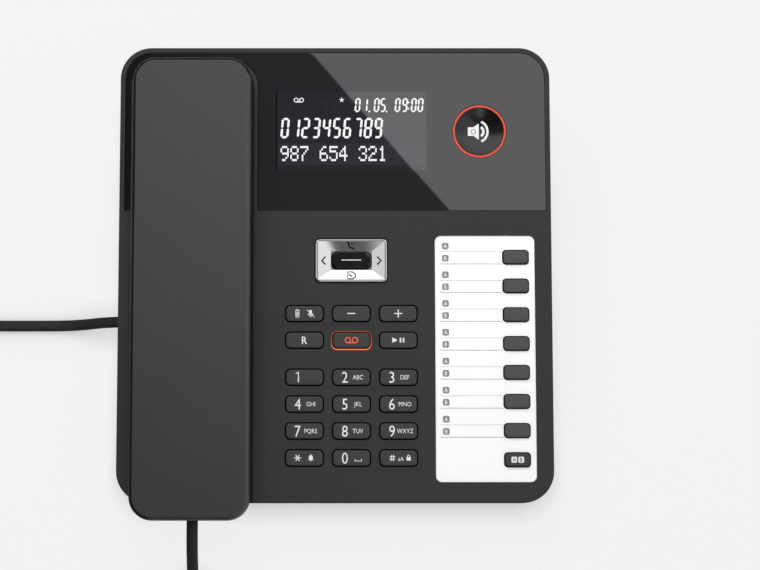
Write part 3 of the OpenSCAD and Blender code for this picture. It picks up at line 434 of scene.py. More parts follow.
for part in frame["record"]["subparts"]:
    mesh = frame["nodes"][part["node"]].data
    mesh.materials.clear()
    mesh.materials.append(SLOT_FINISH[part["material_slot"]])

halo = frame["nodes"]["message_halo"].data
halo.materials.clear()
halo.materials.append(HALO_LIT)
for plug in ("cord_plug_base", "cord_plug_handset"):
    frame["nodes"][plug].data.materials[0] = PLUG_CLEAR
for cord_piece in (handset_lead, curled_cord):
    cord_piece.data.materials.append(CORD_BLACK)

# ---- ways of making a piece


def clear_selection():
    if bpy.context.object and bpy.context.object.mode != "OBJECT":
        bpy.ops.object.mode_set(mode="OBJECT")
    bpy.ops.object.select_all(action="DESELECT")


def work_on(piece):
    clear_selection()
    piece.select_set(True)
    bpy.context.view_layer.objects.active = piece


def pick(piece, kind, test):
    """In edit mode, selects the edges or faces that pass a test, and nothing else."""
    work_on(piece)
    bpy.ops.object.mode_set(mode="EDIT")
    bpy.context.tool_settings.mesh_select_mode = (False, kind == "EDGE", kind == "FACE")
    mesh = bmesh.from_edit_mesh(piece.data)
    for group in (mesh.faces, mesh.edges, mesh.verts):
        for element in group:
            element.select_set(False)
    for element in (mesh.edges if kind == "EDGE" else mesh.faces):
        if test(element):
            element.select_set(True)
    bmesh.update_edit_mesh(piece.data)


def leave():
    bpy.ops.object.mode_set(mode="OBJECT")


NEAR = 1e-6  # places in metres that differ by less are the same


def is_corner(w, d):
    """Finds the upright edges of a box of this width and depth."""
    def test(edge):
        return all(abs(abs(v.co.x) - w / 2 * MM) < NEAR and abs(abs(v.co.y) - d / 2 * MM) < NEAR
                   for v in edge.verts) and edge.verts[0].co.z != edge.verts[1].co.z
    return test


def is_long(edge):
    """Finds the edges that run along Y."""
    a, b = (v.co for v in edge.verts)
    return abs(a.x - b.x) < NEAR and abs(a.z - b.z) < NEAR


def top_face(high):
    """Finds the level face at this height."""
    return lambda face: face.normal.z > 0.9 and abs(face.calc_center_median().z - high * MM) < NEAR


def top_rim(high):
    """Finds the edges where the sides meet the top at this height."""
    def test(edge):
        at_top = all(abs(v.co.z - high * MM) < NEAR for v in edge.verts)
        return at_top and any(abs(f.normal.z) < 0.5 for f in edge.link_faces)
    return test


def box(name, w, d, low, high):
    """A plain box on the Z axis, in millimetres."""
    clear_selection()
    bpy.ops.mesh.primitive_cube_add(size=1, location=(0, 0, (low + high) / 2 * MM),
                                    scale=(w * MM, d * MM, (high - low) * MM))
    piece = bpy.context.object
    piece.name = piece.data.name = name
    bpy.ops.object.transform_apply(location=True, rotation=False, scale=True)
    return piece


def block(name, w, d, low, high, corner, segments=8, cuts=0):
    """A plate with round corners on the Z axis, in millimetres. Cuts part it along its depth."""
    piece = box(name, w, d, low, high)
    if cuts:
        pick(piece, "EDGE", is_long)
        bpy.ops.mesh.subdivide(number_cuts=cuts)
    pick(piece, "EDGE", is_corner(w, d))
    bpy.ops.mesh.bevel(offset=corner * MM, offset_type="OFFSET", segments=segments, affect="EDGES")
    leave()
    return piece


def soften_top(piece, high, soft, segments=3):
    pick(piece, "EDGE", top_rim(high))
    bpy.ops.mesh.bevel(offset=soft * MM, offset_type="OFFSET", segments=segments, affect="EDGES")
    leave()


def crown_top(piece, high, inset, rise):
    """Insets the top face and lifts or sinks its middle a little."""
    pick(piece, "FACE", top_face(high))
    bpy.ops.mesh.inset(thickness=inset * MM, depth=rise * MM)
    leave()


def extrude_top(piece, high, share_x, share_y, rise):
    """Pulls the top face up or down and shrinks it, with sloping sides below it."""
    pick(piece, "FACE", top_face(high))
    bpy.ops.mesh.extrude_region_move(TRANSFORM_OT_translate={"value": (0, 0, rise * MM)})
    bpy.ops.transform.resize(value=(share_x, share_y, 1), center_override=(0, 0, 0))
    leave()


def cut_out(piece, cutter):
    """Takes the cutter's form out of the piece."""
    work_on(piece)
    cut = piece.modifiers.new("cut", "BOOLEAN")
    cut.operation, cut.solver, cut.object = "DIFFERENCE", "EXACT", cutter
    bpy.ops.object.modifier_apply(modifier=cut.name)
    bpy.data.objects.remove(cutter)


WEDGE_MORE = 2  # how far a wedge goes on over its large section


def wedge(name, small, large):
    """A block with four sloping sides: its small and large sections, each a width, a depth and
    a height. It goes on upwards with the same slopes, past the piece that it is cut out of."""
    more = 1 + WEDGE_MORE / (large[2] - small[2])
    w, d, high = (a + (b - a) * more for a, b in zip(small, large))
    piece = box(name, small[0], small[1], small[2], high)
    pick(piece, "FACE", top_face(high))
    bpy.ops.transform.resize(value=(w / small[0], d / small[1], 1), center_override=(0, 0, 0))
    leave()
    return piece


def place(piece, x, v, w=0.0, lean=(0.0, 0.0)):
    """Moves a finished piece to its spot of the face, turned about X and Y by lean in degrees,
    and leaves its object at the origin."""
    clear_selection()
    turned = (Matrix.Rotation(radians(lean[0]), 4, "X")
              @ Matrix.Rotation(radians(lean[1]), 4, "Y"))
    piece.matrix_world = FACE @ Matrix.Translation((x * MM, v * MM, w * MM)) @ turned
    work_on(piece)
    bpy.ops.object.transform_apply(location=True, rotation=True, scale=True)


def finish(piece, material, body, nodes=(), angle=35.0):
    """Gives a placed piece its finish, its body and the nodes that it replaces."""
    work_on(piece)
    bpy.ops.object.shade_smooth_by_angle(angle=radians(angle))
    # large faces stay evenly lit beside their rounded edges
    even = piece.modifiers.new("even", "WEIGHTED_NORMAL")
    even.keep_sharp, even.weight = True, 100
    bpy.ops.object.modifier_apply(modifier=even.name)
    piece.data.materials.clear()
    piece.data.materials.append(material)
    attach(piece, body)
    if nodes:
        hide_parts(*nodes)


# ---- prints and symbols

PRINT_T = 0.02  # thickness of a print


def as_mesh(piece):
    work_on(piece)
    bpy.ops.object.convert(target="MESH")
    return bpy.context.object


def draw_lines(data, lines, closed):
    """Adds straight-sided lines to a curve, each closed where its entry says so."""
    for line, is_closed in zip(lines, closed):
        spline = data.splines.new("POLY")
        spline.points.add(len(line) - 1)
        for point, (x, y) in zip(spline.points, line):
            point.co = (x * MM, y * MM, 0, 1)
        spline.use_cyclic_u = is_closed


def flat_shapes(outlines):
    """Flat shapes inside closed outlines, in millimetres."""
    data = bpy.data.curves.new("shapes", "CURVE")
    data.dimensions, data.fill_mode, data.extrude = "2D", "BOTH", PRINT_T / 2 * MM
    draw_lines(data, outlines, [True] * len(outlines))
    return as_mesh(in_scene("shapes", data))


def strokes(lines, width):
    """Drawn lines of one width with round ends; a line that ends where it starts is closed."""
    data = bpy.data.curves.new("strokes", "CURVE")
    data.dimensions, data.bevel_depth, data.bevel_resolution = "3D", width / 2 * MM, 2
    data.use_fill_caps = True
    closed = [line[0] == line[-1] and len(line) > 2 for line in lines]
    draw_lines(data, [line[:-1] if ends_meet else line for line, ends_meet in zip(lines, closed)],
               closed)
    piece = as_mesh(in_scene("strokes", data))
    piece.scale = (1, 1, PRINT_T / width)
    bpy.ops.object.transform_apply(location=False, rotation=False, scale=True)
    return piece


CAP_HEIGHT = 0.7  # of the plain lettering, at size 1


def letters(text, height, x=0.0, v=0.0, squeeze=0.86, bold=0.0):
    """Plain lettering, its capitals of the given height, about (x, v)."""
    clear_selection()
    bpy.ops.object.text_add()
    piece = bpy.context.object
    piece.data.body, piece.data.resolution_u = text, 3
    piece.data.align_x, piece.data.offset = "CENTER", bold
    piece = as_mesh(piece)
    xs = [c.co.x for c in piece.data.vertices]
    size = height * MM / CAP_HEIGHT
    shift = Vector(((max(xs) + min(xs)) / 2, CAP_HEIGHT / 2, 0))
    piece.data.transform(Matrix.Translation(-shift))
    piece.data.transform(Matrix.Diagonal((size * squeeze, size, 1, 1)))
    pick(piece, "FACE", lambda face: True)
    bpy.ops.mesh.extrude_region_move(TRANSFORM_OT_translate={"value": (0, 0, PRINT_T * MM)})
    bpy.ops.mesh.select_all(action="SELECT")
    bpy.ops.mesh.normals_make_consistent(inside=False)
    leave()
    piece.data.transform(Matrix.Translation((x * MM, v * MM, -PRINT_T / 2 * MM)))
    return piece


def arc(x, y, r, start, end, n=10):
    """Points of an arc about (x, y), from one angle in degrees to another."""
    return [(x + r * cos(radians(start + (end - start) * i / n)),
             y + r * sin(radians(start + (end - start) * i / n))) for i in range(n + 1)]


def ring_line(x, y, r, n=16):
    points = arc(x, y, r, 0, 360, n)
    return points[:-1] + [points[0]]


def box_line(x, y, w, d, r):
    """The closed outline of a box with round corners."""
    points = []
    for cx, cy, a in ((1, 1, 0), (-1, 1, 90), (-1, -1, 180), (1, -1, 270)):
        points += arc(x + cx * (w / 2 - r), y + cy * (d / 2 - r), r, a, a + 90, 3)
    return points + [points[0]]


def print_on(name, parts, x, v, w, material, body, lean=(0.0, 0.0)):
    """Joins prints into one piece, lays it on its spot of the face and gives it its body."""
    clear_selection()
    for part in parts:
        part.select_set(True)
    bpy.context.view_layer.objects.active = parts[0]
    bpy.ops.object.join()
    piece = bpy.context.object
    piece.name = piece.data.name = name
    place(piece, x, v, w + PRINT_T / 2, lean)
    finish(piece, material, body, angle=20.0)


# ---- keys

KEY_W, KEY_D, KEY_R = 17.6, 7.4, 2.1
KEY_TOP = 0.7  # over the face
KEY_CROWN, KEY_INSET = 0.1, 1.0  # the top's middle stands up a little, from here inwards
KEY_SOFT = 0.3
FACE_WALL = 3.4
COLUMN_X, COLUMN_PITCH, ROW_PITCH = 7.8, 22.4, 12.8
FUNCTION_V, DIGIT_V = -19.9, -50.4
MEMORY_W, MEMORY_D, MEMORY_R = 12.0, 6.4, 1.6
MEMORY_X, MEMORY_V, MEMORY_PITCH = 86.6, 7.35, 13.85


def key(node_name, x, v, w=KEY_W, d=KEY_D, r=KEY_R, material=KEY_BLACK):
    """A key cap with a soft rim, its sides in a darker finish that paints the shade of the gaps round it.
    """
    piece = block(node_name + "_cap", w, d, -FACE_WALL, KEY_TOP - KEY_CROWN, r, 7)
    soften_top(piece, KEY_TOP - KEY_CROWN, KEY_SOFT)
    crown_top(piece, KEY_TOP - KEY_CROWN, KEY_INSET, KEY_CROWN)
    shaded_sides = [face.index for face in piece.data.polygons if face.normal.z < 0.9]
    place(piece, x, v)
    finish(piece, material, node_name, [node_name])
    piece.data.materials.append(KEY_SIDE_SHADE)
    for index in shaded_sides:
        piece.data.polygons[index].material_index = 1


PRINT_W = KEY_TOP + 0.005  # height of the keys' prints over the face
SYMBOL_LINE, SIGN_LINE, HASH_LINE = 0.32, 0.5, 0.36


def moved(x, y, *lines):
    return [[(x + a, y + b) for a, b in line] for line in lines]


def bin_symbol(x, y):
    return strokes(moved(x, y, [(-1.1, 1.5), (1.1, 1.5)], [(-0.4, 1.9), (0.4, 1.9)],
                         [(-0.85, 1.1), (-0.7, -1.8), (0.7, -1.8), (0.85, 1.1)],
                         [(-0.25, 0.9), (-0.25, -1.4)], [(0.25, 0.9), (0.25, -1.4)]), SYMBOL_LINE)


def crossed_microphone(x, y):
    head = arc(x, y + 1.05, 0.62, 0, 180, 6) + arc(x, y - 0.05, 0.62, 180, 360, 6)
    lines = moved(x, y, [(0, -1.2), (0, -1.9)], [(-1.7, 1.75), (1.7, -1.85)])
    return [flat_shapes([head]),
            strokes([arc(x, y - 0.05, 1.15, 185, 355, 8)] + lines, SYMBOL_LINE)]


def reels(x, y, r, apart, width):
    return strokes([ring_line(x - apart, y, r), ring_line(x + apart, y, r),
                    [(x - apart, y - r), (x + apart, y - r)]], width)


def star_symbol(x, y, r, width):
    return strokes([[(x - r * cos(a), y - r * sin(a)), (x + r * cos(a), y + r * sin(a))]
                    for a in (radians(t) for t in (0, 60, 120))], width)


def bell_symbol(x, y):
    left, right = moved(x, y, [(-1.35, -0.95), (-0.95, -0.55)], [(0.95, -0.55), (1.35, -0.95)])
    return [flat_shapes([left + arc(x, y + 0.45, 0.95, 180, 0, 8) + right]),
            flat_shapes([arc(x, y - 1.1, 0.42, 180, 360, 6)]),
            flat_shapes([ring_line(x, y + 1.5, 0.25, 8)[:-1]])]


def lock_symbol(x, y):
    body, left, right = moved(x, y, [(-1.0, -1.2), (1.0, -1.2), (1.0, 0.4), (-1.0, 0.4)],
                              [(-0.62, 0.3)], [(0.62, 0.3)])
    return [flat_shapes([body]), strokes([left + arc(x, y + 0.75, 0.62, 180, 0, 8) + right], 0.3)]


def hash_symbol(x, y):
    return strokes(moved(x, y, [(-0.55, -1.5), (-0.35, 1.5)], [(0.45, -1.5), (0.65, 1.5)],
                         [(-1.3, -0.6), (1.4, -0.6)], [(-1.3, 0.6), (1.4, 0.6)]), HASH_LINE)


# Column, row and print of each function key
FUNCTION_PRINTS = {
    "mute_key": (-1, 0, lambda: [bin_symbol(-3.4, 0)] + crossed_microphone(2.9, 0.1)),
    "minus_key": (0, 0, lambda: [strokes([[(-1.9, 0), (1.9, 0)]], SIGN_LINE)]),
    "plus_key": (1, 0, lambda: [strokes([[(-1.9, 0), (1.9, 0)], [(0, -1.9), (0, 1.9)]],
                                        SIGN_LINE)]),
    "recall_key": (-1, 1, lambda: [letters("R", 3.5, bold=0.012, squeeze=0.9)]),
    "message_key": (0, 1, lambda: [reels(0, 0, 1.25, 1.75, SIGN_LINE)]),
    "play_key": (1, 1, lambda: [flat_shapes([[(-2.9, -1.3), (-2.9, 1.3), (-0.3, 0)]]),
                                strokes([[(t, -1.1), (t, 1.1)] for t in (1.0, 2.5)], 0.75)]),
}
for name, (column, row, drawn) in FUNCTION_PRINTS.items():
    x, v = COLUMN_X + column * COLUMN_PITCH, FUNCTION_V - row * ROW_PITCH
    key(name, x, v)
    ink = SYMBOL_LIT if name == "message_key" else INK_WHITE
    print_on(name + "_print", drawn(), x, v, PRINT_W, ink, name)

DIGIT_X, LETTER_X = -3.15, 3.05
DIGIT_H, LETTER_H = 5.3, 2.15
KEYPAD = "1,2 ABC,3 DEF,4 GHI,5 JKL,6 MNO,7 PQRS,8 TUV,9 WXYZ,*,0,#"
for i, marks in enumerate(KEYPAD.split(",")):
    digit, _, word = marks.partition(" ")
    name = {"*": "star_key", "#": "hash_key"}.get(digit, "key_" + digit)
    x = COLUMN_X + (i % 3 - 1) * COLUMN_PITCH
    v = DIGIT_V - (i // 3) * ROW_PITCH
    key(name, x, v)
    drawn = [] if digit in "1*#" else [letters(digit, DIGIT_H, DIGIT_X, squeeze=0.84)]
    if digit == "1":
        half = DIGIT_H / 2
        drawn.append(strokes([[(DIGIT_X - 0.9, half - 0.95), (DIGIT_X + 0.3, half - 0.25),
                               (DIGIT_X + 0.3, -half + 0.3)]], 0.62))
    if word:
        drawn.append(letters(word, LETTER_H, LETTER_X, squeeze=0.85))
    if name == "star_key":
        drawn += [star_symbol(-3.2, 0, 1.7, 0.42)] + bell_symbol(3.1, 0)
    elif name == "key_0":
        drawn.append(strokes([[(1.6, -0.5), (1.6, -1.4), (4.7, -1.4), (4.7, -0.5)]], HASH_LINE))
    elif name == "hash_key":
        drawn += [hash_symbol(-3.1, 0), letters("aA", 2.0, 1.05, -0.4)] + lock_symbol(4.7, 0)
    print_on(name + "_print", drawn, x, v, PRINT_W, INK_WHITE, name)

MEMORY_KEYS = 7
SHIFT_V = MEMORY_V - MEMORY_KEYS * MEMORY_PITCH
MARK_H = 1.9  # height of the letters on the shift key and on the card
SHIFT_MARKS = {"A": -1.65, "B": 1.65}
for i in range(MEMORY_KEYS):
    key("memory_key_%d" % (i + 1), MEMORY_X, MEMORY_V - i * MEMORY_PITCH,
        MEMORY_W, MEMORY_D, MEMORY_R, MEMORY_BLACK)
key("shift_key", MEMORY_X, SHIFT_V, MEMORY_W, MEMORY_D, MEMORY_R)
print_on("shift_print",
         [flat_shapes([box_line(t, 0, 2.7, 2.9, 0.5)[:-1]]) for t in SHIFT_MARKS.values()],
         MEMORY_X, SHIFT_V, PRINT_W, INK_WHITE, "shift_key")
print_on("shift_letters", [letters(mark, MARK_H, t) for mark, t in SHIFT_MARKS.items()],
         MEMORY_X, SHIFT_V, PRINT_W + PRINT_T, INK_BLACK, "shift_key")

# ---- rocker and centre key

ROCKER_X, ROCKER_V = 7.8, 5.7
ROCKER_W, ROCKER_D, ROCKER_T, ROCKER_R = 34.4, 20.7, 2.6, 1.7
ROCKER_TOP = 1.0
ROCKER_STEPS = (0.42, 0.08)  # below its top the rocker draws in, in steps of these heights
ROCKER_DRAW_IN = (0.985, 0.975)  # by these shares of its width and depth
CENTRE_W, CENTRE_D, CENTRE_R = 19.0, 8.4, 2.6
CENTRE_LOW, CENTRE_TOP, CENTRE_SOFT = -2.4, 1.4, 0.6
CENTRE_GAP = 0.3  # between the centre key and the rocker
CENTRE_INSET, CENTRE_SUNK = 1.3, 0.05  # the centre key's top is a little hollow
RIM_W, RIM_D, RIM_TOP = 32.0, 18.5, 1.0  # the dish's upper edge
FLOOR_W, FLOOR_D, FLOOR_TOP = 19.8, 9.2, 0.22  # the dish's floor, round the centre key
LEAN_X = degrees(atan2(RIM_TOP - FLOOR_TOP, (RIM_W - FLOOR_W) / 2))
LEAN_Y = degrees(atan2(RIM_TOP - FLOOR_TOP, (RIM_D - FLOOR_D) / 2))

height = ROCKER_TOP - sum(ROCKER_STEPS)
rocker = block("rocker", ROCKER_W, ROCKER_D, ROCKER_TOP - ROCKER_T, height, ROCKER_R)
for rise in ROCKER_STEPS:
    extrude_top(rocker, height, *ROCKER_DRAW_IN, rise)
    height += rise
cut_out(rocker, wedge("dish", (FLOOR_W, FLOOR_D, FLOOR_TOP), (RIM_W, RIM_D, RIM_TOP)))
cut_out(rocker, block("hole", CENTRE_W + 2 * CENTRE_GAP, CENTRE_D + 2 * CENTRE_GAP, -4, 4,
                      CENTRE_R + CENTRE_GAP))
place(rocker, ROCKER_X, ROCKER_V)
finish(rocker, CHROME, "rocker", ["rocker_plate"], angle=6.0)

centre = block("centre", CENTRE_W, CENTRE_D, CENTRE_LOW, CENTRE_TOP, CENTRE_R)
soften_top(centre, CENTRE_TOP, CENTRE_SOFT, 4)
crown_top(centre, CENTRE_TOP, CENTRE_INSET, -CENTRE_SUNK)
place(centre, ROCKER_X, ROCKER_V)
finish(centre, CENTRE_BLACK, "centre", ["centre_key"])
print_on("centre_print", [strokes([[(-4.7, 0), (4.7, 0)]], 0.42)], ROCKER_X, ROCKER_V + 0.1,
         CENTRE_TOP - CENTRE_SUNK + 0.01, INK_WHITE, "centre")

DISH_PRINT_LIFT = 0.015


def on_dish(name, parts, across, along):
    """Lays prints on one of the rocker's four sloping faces."""
    if across:
        lean = (0.0, copysign(LEAN_X, -across))
        rise = (abs(across) - FLOOR_W / 2) * tan(radians(LEAN_X))
    else:
        lean = (copysign(LEAN_Y, along), 0.0)
        rise = (abs(along) - FLOOR_D / 2) * tan(radians(LEAN_Y))
    print_on(name, parts, ROCKER_X + across, ROCKER_V + along,
             FLOOR_TOP + rise + DISH_PRINT_LIFT, INK_BLACK, "rocker", lean)


for name, across in (("chevron_left", -13.3), ("chevron_right", 13.3)):
    turn = copysign(0.9, across)
    on_dish(name, [strokes([[(-turn, 1.8), (turn, -0.1), (-turn, -2.0)]], 0.8)], across, 0)
on_dish("call_list_symbol",
        [strokes([[(-1.4, 0.9), (-1.15, -0.1), (-0.5, -0.95), (0.4, -1.4)]], 0.75),
         strokes([[(-1.45, 1.6), (-1.4, 0.9)], [(0.4, -1.45), (1.3, -1.55)]], 1.0),
         strokes([[(-0.1, 1.0), (0.4, 0.2), (1.5, 1.4)]], 0.3)], 0, 7.3)
on_dish("address_book_symbol",
        [strokes([[(-1.7, 1.7), (0.5, 1.7), (1.9, 0.7), (1.9, -0.8), (0.7, -1.7), (-1.7, -1.7),
                   (-1.7, 1.7)]], 0.62),
         strokes([[(-1.0, 0.7), (-0.5, 0.0), (0.4, -0.6)]], 0.7)], 0, -7.2)

# ---- speaker button

SPEAKER_X, SPEAKER_V = 69.8, 68.7
BUTTON_R = 11.75
DISH_R, DISH_DEPTH = 11.1, 1.2
DISH_TOP = 0.3  # the button's rim, over the face
DISH_RINGS = 13

clear_selection()
bpy.ops.mesh.primitive_cylinder_add(vertices=96, radius=BUTTON_R * MM,
                                    depth=(FACE_WALL + DISH_TOP) * MM,
                                    location=(0, 0, (DISH_TOP - FACE_WALL) / 2 * MM))
dish = bpy.context.object
dish.name = dish.data.name = "speaker_dish"
bpy.ops.object.transform_apply(location=True, rotation=False, scale=False)
height, outer = DISH_TOP, BUTTON_R
for i in range(DISH_RINGS):
    # each ring lies further in, down the dish, and the last one is the small flat middle
    radius = DISH_R * (1 - i / (DISH_RINGS - 0.5))
    depth = DISH_TOP - DISH_DEPTH * (1 - (radius / DISH_R) ** 2)
    extrude_top(dish, height, radius / outer, radius / outer, depth - height)
    height, outer = depth, radius
place(dish, SPEAKER_X, SPEAKER_V)
finish(dish, GLOSS_BLACK, "speaker_button", ["speaker_button"], angle=40.0)

SPEAKER_PRINT_W = -0.6
print_on("speaker_symbol",
         [flat_shapes([[(-5.6, -2.1), (-2.9, -2.1), (-0.3, -4.0), (-0.3, 4.0), (-2.9, 2.1), (-5.6, 2.1)]]),
          strokes([arc(-0.6, 0, 2.55, -58, 58)], 1.2), strokes([arc(-1.4, 0, 5.35, -65, 65, 14)], 1.1)],
         SPEAKER_X, SPEAKER_V, SPEAKER_PRINT_W, INK_WHITE, "speaker_button")
print_on("speaker_symbol_ring", [strokes([ring_line(0, 0, 1.15)], 0.28)], SPEAKER_X - 2.9,
         SPEAKER_V - 0.1, SPEAKER_PRINT_W + PRINT_T, INK_BLACK, "speaker_button")

# ---- display

LCD_X, LCD_V, LCD_W, LCD_H = 8.2, 68.9, 71.6, 38.8
LCD_LEFT, LCD_TOP = LCD_X - LCD_W / 2, LCD_V + LCD_H / 2
WINDOW_T, BAND_T = 0.03, 0.01
EDGE_LINE_X, EDGE_LINE_V, EDGE_LINE_W, EDGE_LINE_H = -28.4, 69.3, 0.6, 39.0
SLANT = 0.085  # how far a figure leans for its height

# Places in the display, in the photo's pixels
LEFT_PX, TOP_PY = 278.2, 91.6
PIXEL_W, PIXEL_H = 0.4831, 0.4911  # millimetres of the face under one pixel
BAND_TOP_PY, BAND_LOW_PY = 143.6, 165.2
DATE_PX, TIME_PX, DATE_PY = (354.6, 361.9, 373.7, 380.0), (394.7, 401.9, 410.9, 417.6), 112.2
DOTS = ((369.7, 111.6), (386.8, 111.6), (409.2, 102.6), (408.8, 108.6))
NUMBER_PX = (280.4, 291.0, 301.0, 311.6, 321.9, 332.3, 342.7, 353.4, 363.5, 373.8)
NUMBER_PY = 138.4
THIRD_ROW = (281.6, 147.2)
REELS_SPOT, STAR_SPOT = (299, 100.2), (342.0, 100.0)
GHOST_NUMBER_PX = (385.0, 395.3, 405.6, 415.9)
GHOST_DATE_PX, GHOST_DATE_PY = (279.6, 287.0, 305.6, 314.0, 322.4, 330.8), 111.8


def lcd_spot(px, py):
    """A place of the display on the face, from its pixel in the photo."""
    return LCD_LEFT + (px - LEFT_PX) * PIXEL_W, LCD_TOP - (py - TOP_PY) * PIXEL_H


def display_layer(name, x, v, w, d, low, thick, corner, segments, material):
    layer = block(name, w, d, 0.0, thick, corner, segments)
    place(layer, x, v, low)
    finish(layer, material, "base")


display_layer("display_window", LCD_X, LCD_V, LCD_W, LCD_H, 0, WINDOW_T, 0.4, 3, LCD_GLASS)
band_top, band_low = (lcd_spot(0, py)[1] for py in (BAND_TOP_PY, BAND_LOW_PY))
display_layer("display_band", LCD_X, (band_top + band_low) / 2, LCD_W, band_top - band_low,
              WINDOW_T, BAND_T, 0.1, 2, LCD_BAND)
# A thin black strip stands for the shaded edge of the display glass below the window: painted shade
display_layer("display_edge", EDGE_LINE_X, EDGE_LINE_V, EDGE_LINE_W, EDGE_LINE_H,
              0, 0.02, 0.1, 2, INK_BLACK)

SEGMENTS = {"0": "abcdef", "1": "bc", "2": "abged", "3": "abgcd", "4": "fgbc", "5": "afgcd",
            "6": "afgedc", "7": "abc", "8": "abcdefg", "9": "abcdfg"}


def segment(letter, w, h, t):
    """One bar of a seven-bar figure, standing on the line y = 0."""
    k, g = t / 2, t * 0.12
    left, right, mid = k, w - k, h / 2
    if letter in "adg":
        y = {"a": h - k, "g": mid, "d": k}[letter]
        return [(left + g, y), (left + k + g, y + k), (right - k - g, y + k), (right - g, y),
                (right - k - g, y - k), (left + k + g, y - k)]
    x = right if letter in "bc" else left
    low, high = (mid, h - k) if letter in "bf" else (k, mid)
    return [(x, low + g), (x + k, low + k + g), (x + k, high - k - g), (x, high - g),
            (x - k, high - k - g), (x - k, low + k + g)]


def figures(text, places, row, w, h, t):
    """Seven-bar figures of one size, leaning a little, with their lower left corners at the
    given pixels of a row."""
    made = []
    for digit, px in zip(text, places):
        x, y = lcd_spot(px, row)
        made += [[(x + a + SLANT * b, y + b) for a, b in segment(letter, w, h, t)]
                 for letter in SEGMENTS[digit]]
    return made


def dot(x, y, w, h):
    return [(x - w / 2, y - h / 2), (x + w / 2, y - h / 2),
            (x + w / 2, y + h / 2), (x - w / 2, y + h / 2)]


LARGE, SMALL, FLAT = (3.9, 10.0, 1.05), (2.7, 6.9, 0.8), (2.7, 5.0, 0.7)
DOT_SIZE = 0.75
shapes = figures("01050900", DATE_PX + TIME_PX, DATE_PY, *SMALL)
shapes += [dot(*lcd_spot(px, py), DOT_SIZE, DOT_SIZE) for px, py in DOTS]
shapes += figures("0123456789", NUMBER_PX, NUMBER_PY, *LARGE)

DOT_FIGURES = {
    "1": "00100 01100 00100 00100 00100 00100 01110", "2": "01110 10001 00001 00110 01000 10000 11111",
    "3": "01110 10001 00001 00110 00001 10001 01110", "4": "00010 00110 01010 10010 11111 00010 00010",
    "5": "11111 10000 11110 00001 00001 10001 01110", "6": "00110 01000 10000 11110 10001 10001 01110",
    "7": "11111 00001 00010 00100 01000 01000 01000", "8": "01110 10001 10001 01110 10001 10001 01110",
    "9": "01110 10001 10001 01111 00001 00010 01100", " ": "00000 " * 7}
DOT_X, DOT_Y, DOT_STEP = 0.8, 1.06, 5.9  # from dot to dot, and dots from figure to figure
row_x, row_y = lcd_spot(*THIRD_ROW)
for n, digit in enumerate("987 654 321"):
    for i, line in enumerate(DOT_FIGURES[digit].split()):
        for j, mark in enumerate(line):
            if mark == "1":
                shapes.append(dot(row_x + (n * DOT_STEP + j) * DOT_X, row_y - i * DOT_Y, 0.74, 0.96))
LCD_PRINT_W, GHOST_W = 0.045, 0.031  # heights of the display's prints over the face
star_x, star_y = lcd_spot(*STAR_SPOT)
star = [(star_x + r * sin(radians(36 * i)), star_y + r * cos(radians(36 * i)))
        for i, r in enumerate([1.3, 0.55] * 5)]
print_on("display_characters", [flat_shapes(shapes), reels(*lcd_spot(*REELS_SPOT), 0.95, 1.3, 0.42),
                                flat_shapes([star])],
         0, 0, LCD_PRINT_W, LCD_LIT, "base")
ghosts = figures("8888", GHOST_NUMBER_PX, NUMBER_PY, *LARGE)
ghosts += figures("888888", GHOST_DATE_PX, GHOST_DATE_PY, *FLAT)
print_on("display_ghosts", [flat_shapes(ghosts)], 0, 0, GHOST_W, LCD_GHOST, "base")

# ---- label card

SHEET_T = 0.4
CARD_SUNK = 0.04  # the card lies a little below the clear sheet
CARD_W = -SHEET_T - CARD_SUNK + 0.001  # where the card's prints lie, over the face
LINE_LEFT, LINE_RIGHT = 50.2, 80.2
THIN_UP, STRONG_UP = 2.7, -3.2  # the two lines beside each memory key, from its middle
BOX_X, BOX_SIDE, BOX_R = 52.9, 3.2, 0.8
BOX_UPS = {"A": 5.4, "B": -0.4}
thin_lines, strong_lines, boxes, words = [], [], [], []
for i in range(MEMORY_KEYS):
    v = MEMORY_V - i * MEMORY_PITCH
    thin_lines.append([(LINE_LEFT, v + THIN_UP), (LINE_RIGHT, v + THIN_UP)])
    strong_lines.append([(LINE_LEFT, v + STRONG_UP), (LINE_RIGHT, v + STRONG_UP)])
    for mark, up in BOX_UPS.items():
        boxes.append(box_line(BOX_X, v + up, BOX_SIDE, BOX_SIDE, BOX_R)[:-1])
        words.append(letters(mark, MARK_H, BOX_X, v + up, squeeze=0.9, bold=0.015))
for name, parts, lift, ink in (
        ("card_thin_lines", [strokes(thin_lines, 0.2)], 0, INK_GREY),
        ("card_lines", [strokes(strong_lines, 0.34)], 0, INK_GREY),
        ("card_boxes", [flat_shapes(boxes)], 0, INK_DARK_GREY),
        ("card_letters", words, PRINT_T, INK_WHITE)):
    print_on(name, parts, 0, 0, CARD_W + lift, ink, "base")

# ---- panel and handset

PANEL_SOFT = 0.3


def cad_copy(node_name, name):
    """A merged copy of a node's mesh, to be worked on."""
    piece = in_scene(name, frame["nodes"][node_name].data.copy())
    pick(piece, "FACE", lambda face: True)
    bpy.ops.mesh.remove_doubles(threshold=0.000002)
    bpy.ops.mesh.dissolve_limited(angle_limit=radians(0.5))
    leave()
    return piece


panel = cad_copy("display_panel", "glossy_panel")
panel.data.transform(FACE.inverted())
pick(panel, "EDGE", top_rim(0.0))
bpy.ops.mesh.bevel(offset=PANEL_SOFT * MM, offset_type="OFFSET", segments=3, affect="EDGES")
leave()
place(panel, 0, 0)
finish(panel, PANEL_BLACK, "base", ["display_panel"])
card = cad_copy("label_card", "card")
card.data.transform(Matrix.Translation(FACE.to_3x3() @ UP * -CARD_SUNK * MM))
finish(card, CARD_WHITE_GLOW, "base", ["label_card"])
finish(cad_copy("label_sheet", "sheet"), CLEAR_SHEET, "base", ["label_sheet"])

